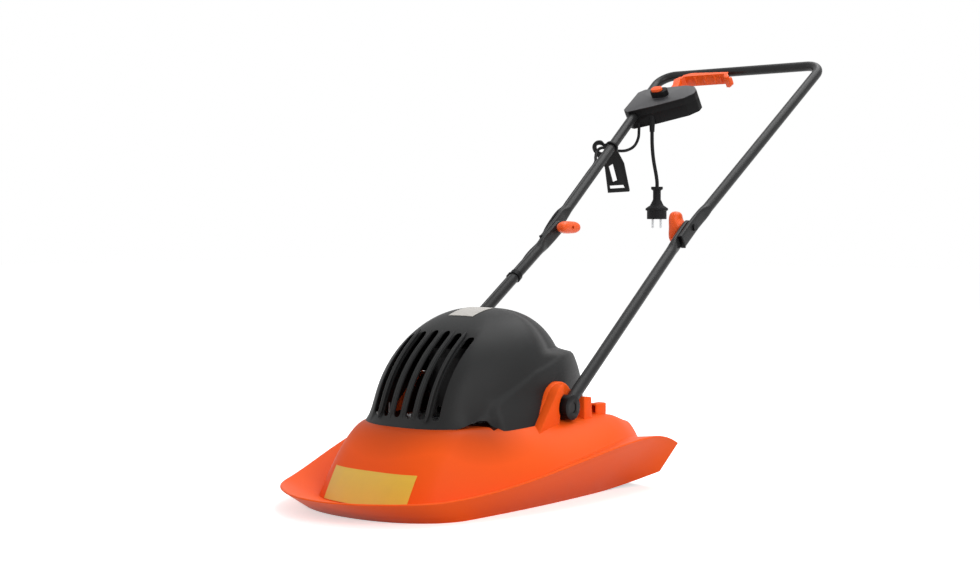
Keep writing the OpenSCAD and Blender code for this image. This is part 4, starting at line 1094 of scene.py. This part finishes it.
class MOWER_OT_cords(Operator):
    """Lay the motor lead and the mains cord"""

    bl_idname = "mower.cords"
    bl_label = "Cords"

    def execute(self, context):
        """Sweeps the lead's four lengths and the hanging cord with its plug."""
        sizes = context.scene.mower_sizes
        radius = sizes.lead_diameter * 500
        beside = np.array([-12.9, 0, 0])
        hang = [[-166, 393, -14], [-166, 382.5, -28.6], [-167, 372, -41], [-170, 354, -48], [-176, 332, -44]]
        hang += [[-183, 310, -30], [-188.5, 292, -13], [-190.5, 276, -1], [-188, 256, 4], [-182, 238, 3]]
        upper = [upper_point(p) for p in hang] + [leg_at(s) + beside for s in (220, 186, 152, 118, 84)]
        self.lead("lead_upper", upper, radius, "upper_frame")
        joint = [leg_at(84) + beside, leg_at(66) + beside, leg_at(46) + [-16.9, -2, 0]]
        joint += [leg_at(16) + [-20, -6, -8], leg_at(-18) + [-20, -6, -16], lower_at(417) + [-21.9, 0, -6]]
        joint += [lower_at(391) + [-14.9, 0, 0], lower_at(378) + beside, lower_at(371.3) + beside]
        self.loop("lead_joint_loop", joint, radius, "upper_frame", "lower_handle")
        lower = [lower_at(s) + beside for s in (371, 300, 240, 180, 120)]
        self.lead("lead_lower", lower, radius, "lower_handle")
        pivot = [lower_at(119.7) + beside, lower_at(113) + beside, lower_at(102) + [-12.9, 4, -2]]
        pivot += [[-170, 100, 184], [-162, 124, 168], [-146, 148, 161], [-122, 168, 160], [-100, 176, 160]]
        pivot += [[-80, 177, 160], [-68, 173, 160], [-61.5, 165, 160], [-60, 157, 160], [-60, 150, 160]]
        pivot += [[-60, 136, 160]]
        self.loop("lead_pivot_loop", pivot, radius, "lower_handle", "base")
        self.pigtail(sizes.cord_diameter)
        return {"FINISHED"}

    def loop(self, name, points, radius, first, second):
        """Length of the lead that runs between two bodies, left without a body of its own."""
        ends = metres([points[0], points[-1]])
        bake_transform(self.lead(name, points, radius, None))

    def lead(self, name, points, radius, body):
        """One length of the lead."""
        obj = new_object(name + "_look", tube(name, spline(points, 6), radius))
        return piece(shade(obj, 60), body, "rubber_black", name)

    def pigtail(self, diameter):
        """Short cord that hangs from the switch box, with its plug."""
        edge = bpy.context.scene.mower_sizes.edge_round
        route = [[0, 0, 6], [0, 0, -8], [0.5, 0, -26], [2, 0.5, -46], [5, 1, -66], [9, 1, -84]]
        route += [[12, 1, -102], [12, 1, -116]]
        mouth = np.array([-138, 728.30, 612.29])
        line = metres(spline(mouth + np.array(route), 4))
        curve = bpy.data.curves.new("mains_cord", "CURVE")
        curve.dimensions = "3D"
        curve.bevel_depth = diameter / 2
        curve.bevel_resolution = 6
        curve.use_fill_caps = True
        path = curve.splines.new("POLY")
        path.points.add(len(line) - 1)
        for point, place in zip(path.points, line):
            point.co = (*place, 1.0)
        cord = new_object("mains_cord_look", curve)
        piece(cord, "upper_frame", "rubber_black", "mains_cord")
        plug = dressed("plug_body", "upper_frame", "rubber_black", edge)


class MOWER_OT_hardware(Operator):
    """Give every other node its finish"""

    bl_idname = "mower.hardware"
    bl_label = "Hardware"

    groups = {
        "steel": (
            "hood_screws", "motor_plate", "lower_bearing", "upper_bearing", "motor_screws", "motor_nuts",
            "pivot_nuts", "rotor_shaft", "blade", "blade_bolt", "case_screws", "lever_pin", "lever_spring",
            "plug_pins",
        ),
        "black_plastic": ("motor_cap", "brushes", "impeller", "blade_spacer", "lead_clips", "micro_switch"),
        "iron": ("stator", "armature"),
        "brass_fittings": ("brush_holders", "commutator"),
        # The motor can is given black paint rather than steel as painted shade, so the inside of the hood
        # reads dark through the slots.
        "black_metal": ("motor_can", "pivot_bolts", "wing_bolts"),
        "rubber_black": ("lead_grommet", "strain_relief"),
    }

    def execute(self, context):
        """Puts a finish in the material slots of each node that stays."""
        for slot, nodes in self.groups.items():
            for node in nodes:
                for place in bpy.data.objects[node].material_slots:
                    place.material = finish(slot)
        return {"FINISHED"}


class MOWER_OT_stage(Operator):
    """Set the camera, the floor and the lamps"""

    bl_idname = "mower.stage"
    bl_label = "Stage"

    def execute(self, context):
        """Places the studio round the mower."""
        camera = self.camera(context)
        floor = self.floor(context)
        lamps = [
            self.lamp("Top", (0.35, 1.0, 2.8), (0.05, 0, 0.2), size=2.2, power=58),
            self.lamp("Left", (-2.6, -1.9, 1.7), (0, 0, 0.25), size=1.8, power=9),
            self.lamp("Right", (2.6, -1.2, 1.5), (0, 0.1, 0.3), size=1.8, power=38),
        ]
        self.world(context)
        context.scene.view_settings.view_transform = "Standard"
        return {"FINISHED"}

    def camera(self, context):
        """Camera that sees the mower as the photo does."""
        eye = (1.4095, -2.04609, 0.4056)
        az, el, roll = (math.radians(a) for a in (37.674, 2.429, 0.143))
        ahead = Vector((-math.sin(az) * math.cos(el), math.cos(az) * math.cos(el), -math.sin(el)))
        right = Vector((math.cos(az), math.sin(az), 0))
        up = right.cross(ahead)
        across = right * math.cos(roll) + up * math.sin(roll)
        upward = up * math.cos(roll) - right * math.sin(roll)
        data = bpy.data.cameras.new("Camera")
        data.sensor_fit = "HORIZONTAL"
        data.sensor_width = 36.0
        data.lens = 53.02
        data.clip_end = 60.0
        obj = new_object("Camera", data)
        turn = Matrix((across, upward, -ahead)).transposed().to_4x4()
        obj.matrix_world = Matrix.Translation(eye) @ turn
        context.scene.camera = obj
        return obj

    def floor(self, context):
        """Wide pale floor that keeps the shadow."""
        mesh = bpy.data.meshes.new("Floor")
        corners = [(14 * a, 14 * b, 0) for a, b in ((-1, -1), (1, -1), (1, 1), (-1, 1))]
        mesh.from_pydata(corners, [], [(0, 1, 2, 3)])
        s = Shader("Floor")
        drift = s.noise(0.6, 2.0)
        seen = s.seen()
        pale = context.scene.mower_paint.floor
        tone = s.blend(drift, rgba(pale, 0.99), rgba(pale, 1.01))
        tone = s.blend(seen, rgba(pale, 0.75), tone)
        glow = s.blend(seen, (0, 0, 0, 1), (1, 1, 1, 1))
        inputs = {"Base Color": tone, "Roughness": 0.9 + drift * 0.05, "Specular IOR Level": 0.0}
        inputs.update({"Emission Color": glow, "Emission Strength": 0.56})
        s.node("ShaderNodeOutputMaterial", {"Surface": s.node("ShaderNodeBsdfPrincipled", inputs)})
        mesh.materials.append(s.owner)
        return new_object("Floor", mesh)

    def lamp(self, name, place, aim, size, power):
        """Square soft lamp."""
        data = bpy.data.lights.new(name, "AREA")
        data.shape = "SQUARE"
        data.size = size
        data.energy = power
        obj = new_object(name, data)
        away = Vector(place) - Vector(aim)
        obj.matrix_world = Matrix.Translation(place) @ away.to_track_quat("Z", "Y").to_matrix().to_4x4()
        return obj

    def world(self, context):
        """White to the camera and in reflections, a plain level of light elsewhere."""
        s = Shader("Studio", "worlds")
        level = s.node("ShaderNodeMapRange", {"Value": s.seen(), "To Min": 0.5, "To Max": 1.0})
        shine = s.node("ShaderNodeBackground", {"Color": (1, 1, 1, 1), "Strength": level})
        s.node("ShaderNodeOutputWorld", {"Surface": shine})
        context.scene.world = s.owner


class MOWER_PT_panel(Panel):
    """Sidebar of the mower"""

    bl_idname = "MOWER_PT_panel"
    bl_label = "Hover mower"
    bl_space_type = "VIEW_3D"
    bl_region_type = "UI"
    bl_category = "Mower"

    def draw(self, context):
        """Lists the sizes, the colours and the operators."""
        for group in (context.scene.mower_sizes, context.scene.mower_paint):
            for key in group.__annotations__:
                self.layout.prop(group, key)
        for step in STEPS:
            self.layout.operator(step.bl_idname)


STEPS = (
    MOWER_OT_deck,
    MOWER_OT_hood,
    MOWER_OT_labels,
    MOWER_OT_handle,
    MOWER_OT_switch,
    MOWER_OT_cords,
    MOWER_OT_hardware,
    MOWER_OT_stage,
)
CLASSES = (MowerSizes, MowerPaint) + STEPS + (MOWER_PT_panel,)


def register():
    """Adds the classes and the scene's properties."""
    for item in CLASSES:
        bpy.utils.register_class(item)
    bpy.types.Scene.mower_sizes = PointerProperty(type=MowerSizes)
    bpy.types.Scene.mower_paint = PointerProperty(type=MowerPaint)


def unregister():
    """Takes them away again."""
    del bpy.types.Scene.mower_paint
    del bpy.types.Scene.mower_sizes
    for item in reversed(CLASSES):
        bpy.utils.unregister_class(item)


def main():
    """Builds every piece."""
    register()
    for step in STEPS:
        group, name = step.bl_idname.split(".")
        getattr(getattr(bpy.ops, group), name)()


if __name__ == "__main__":
    main()
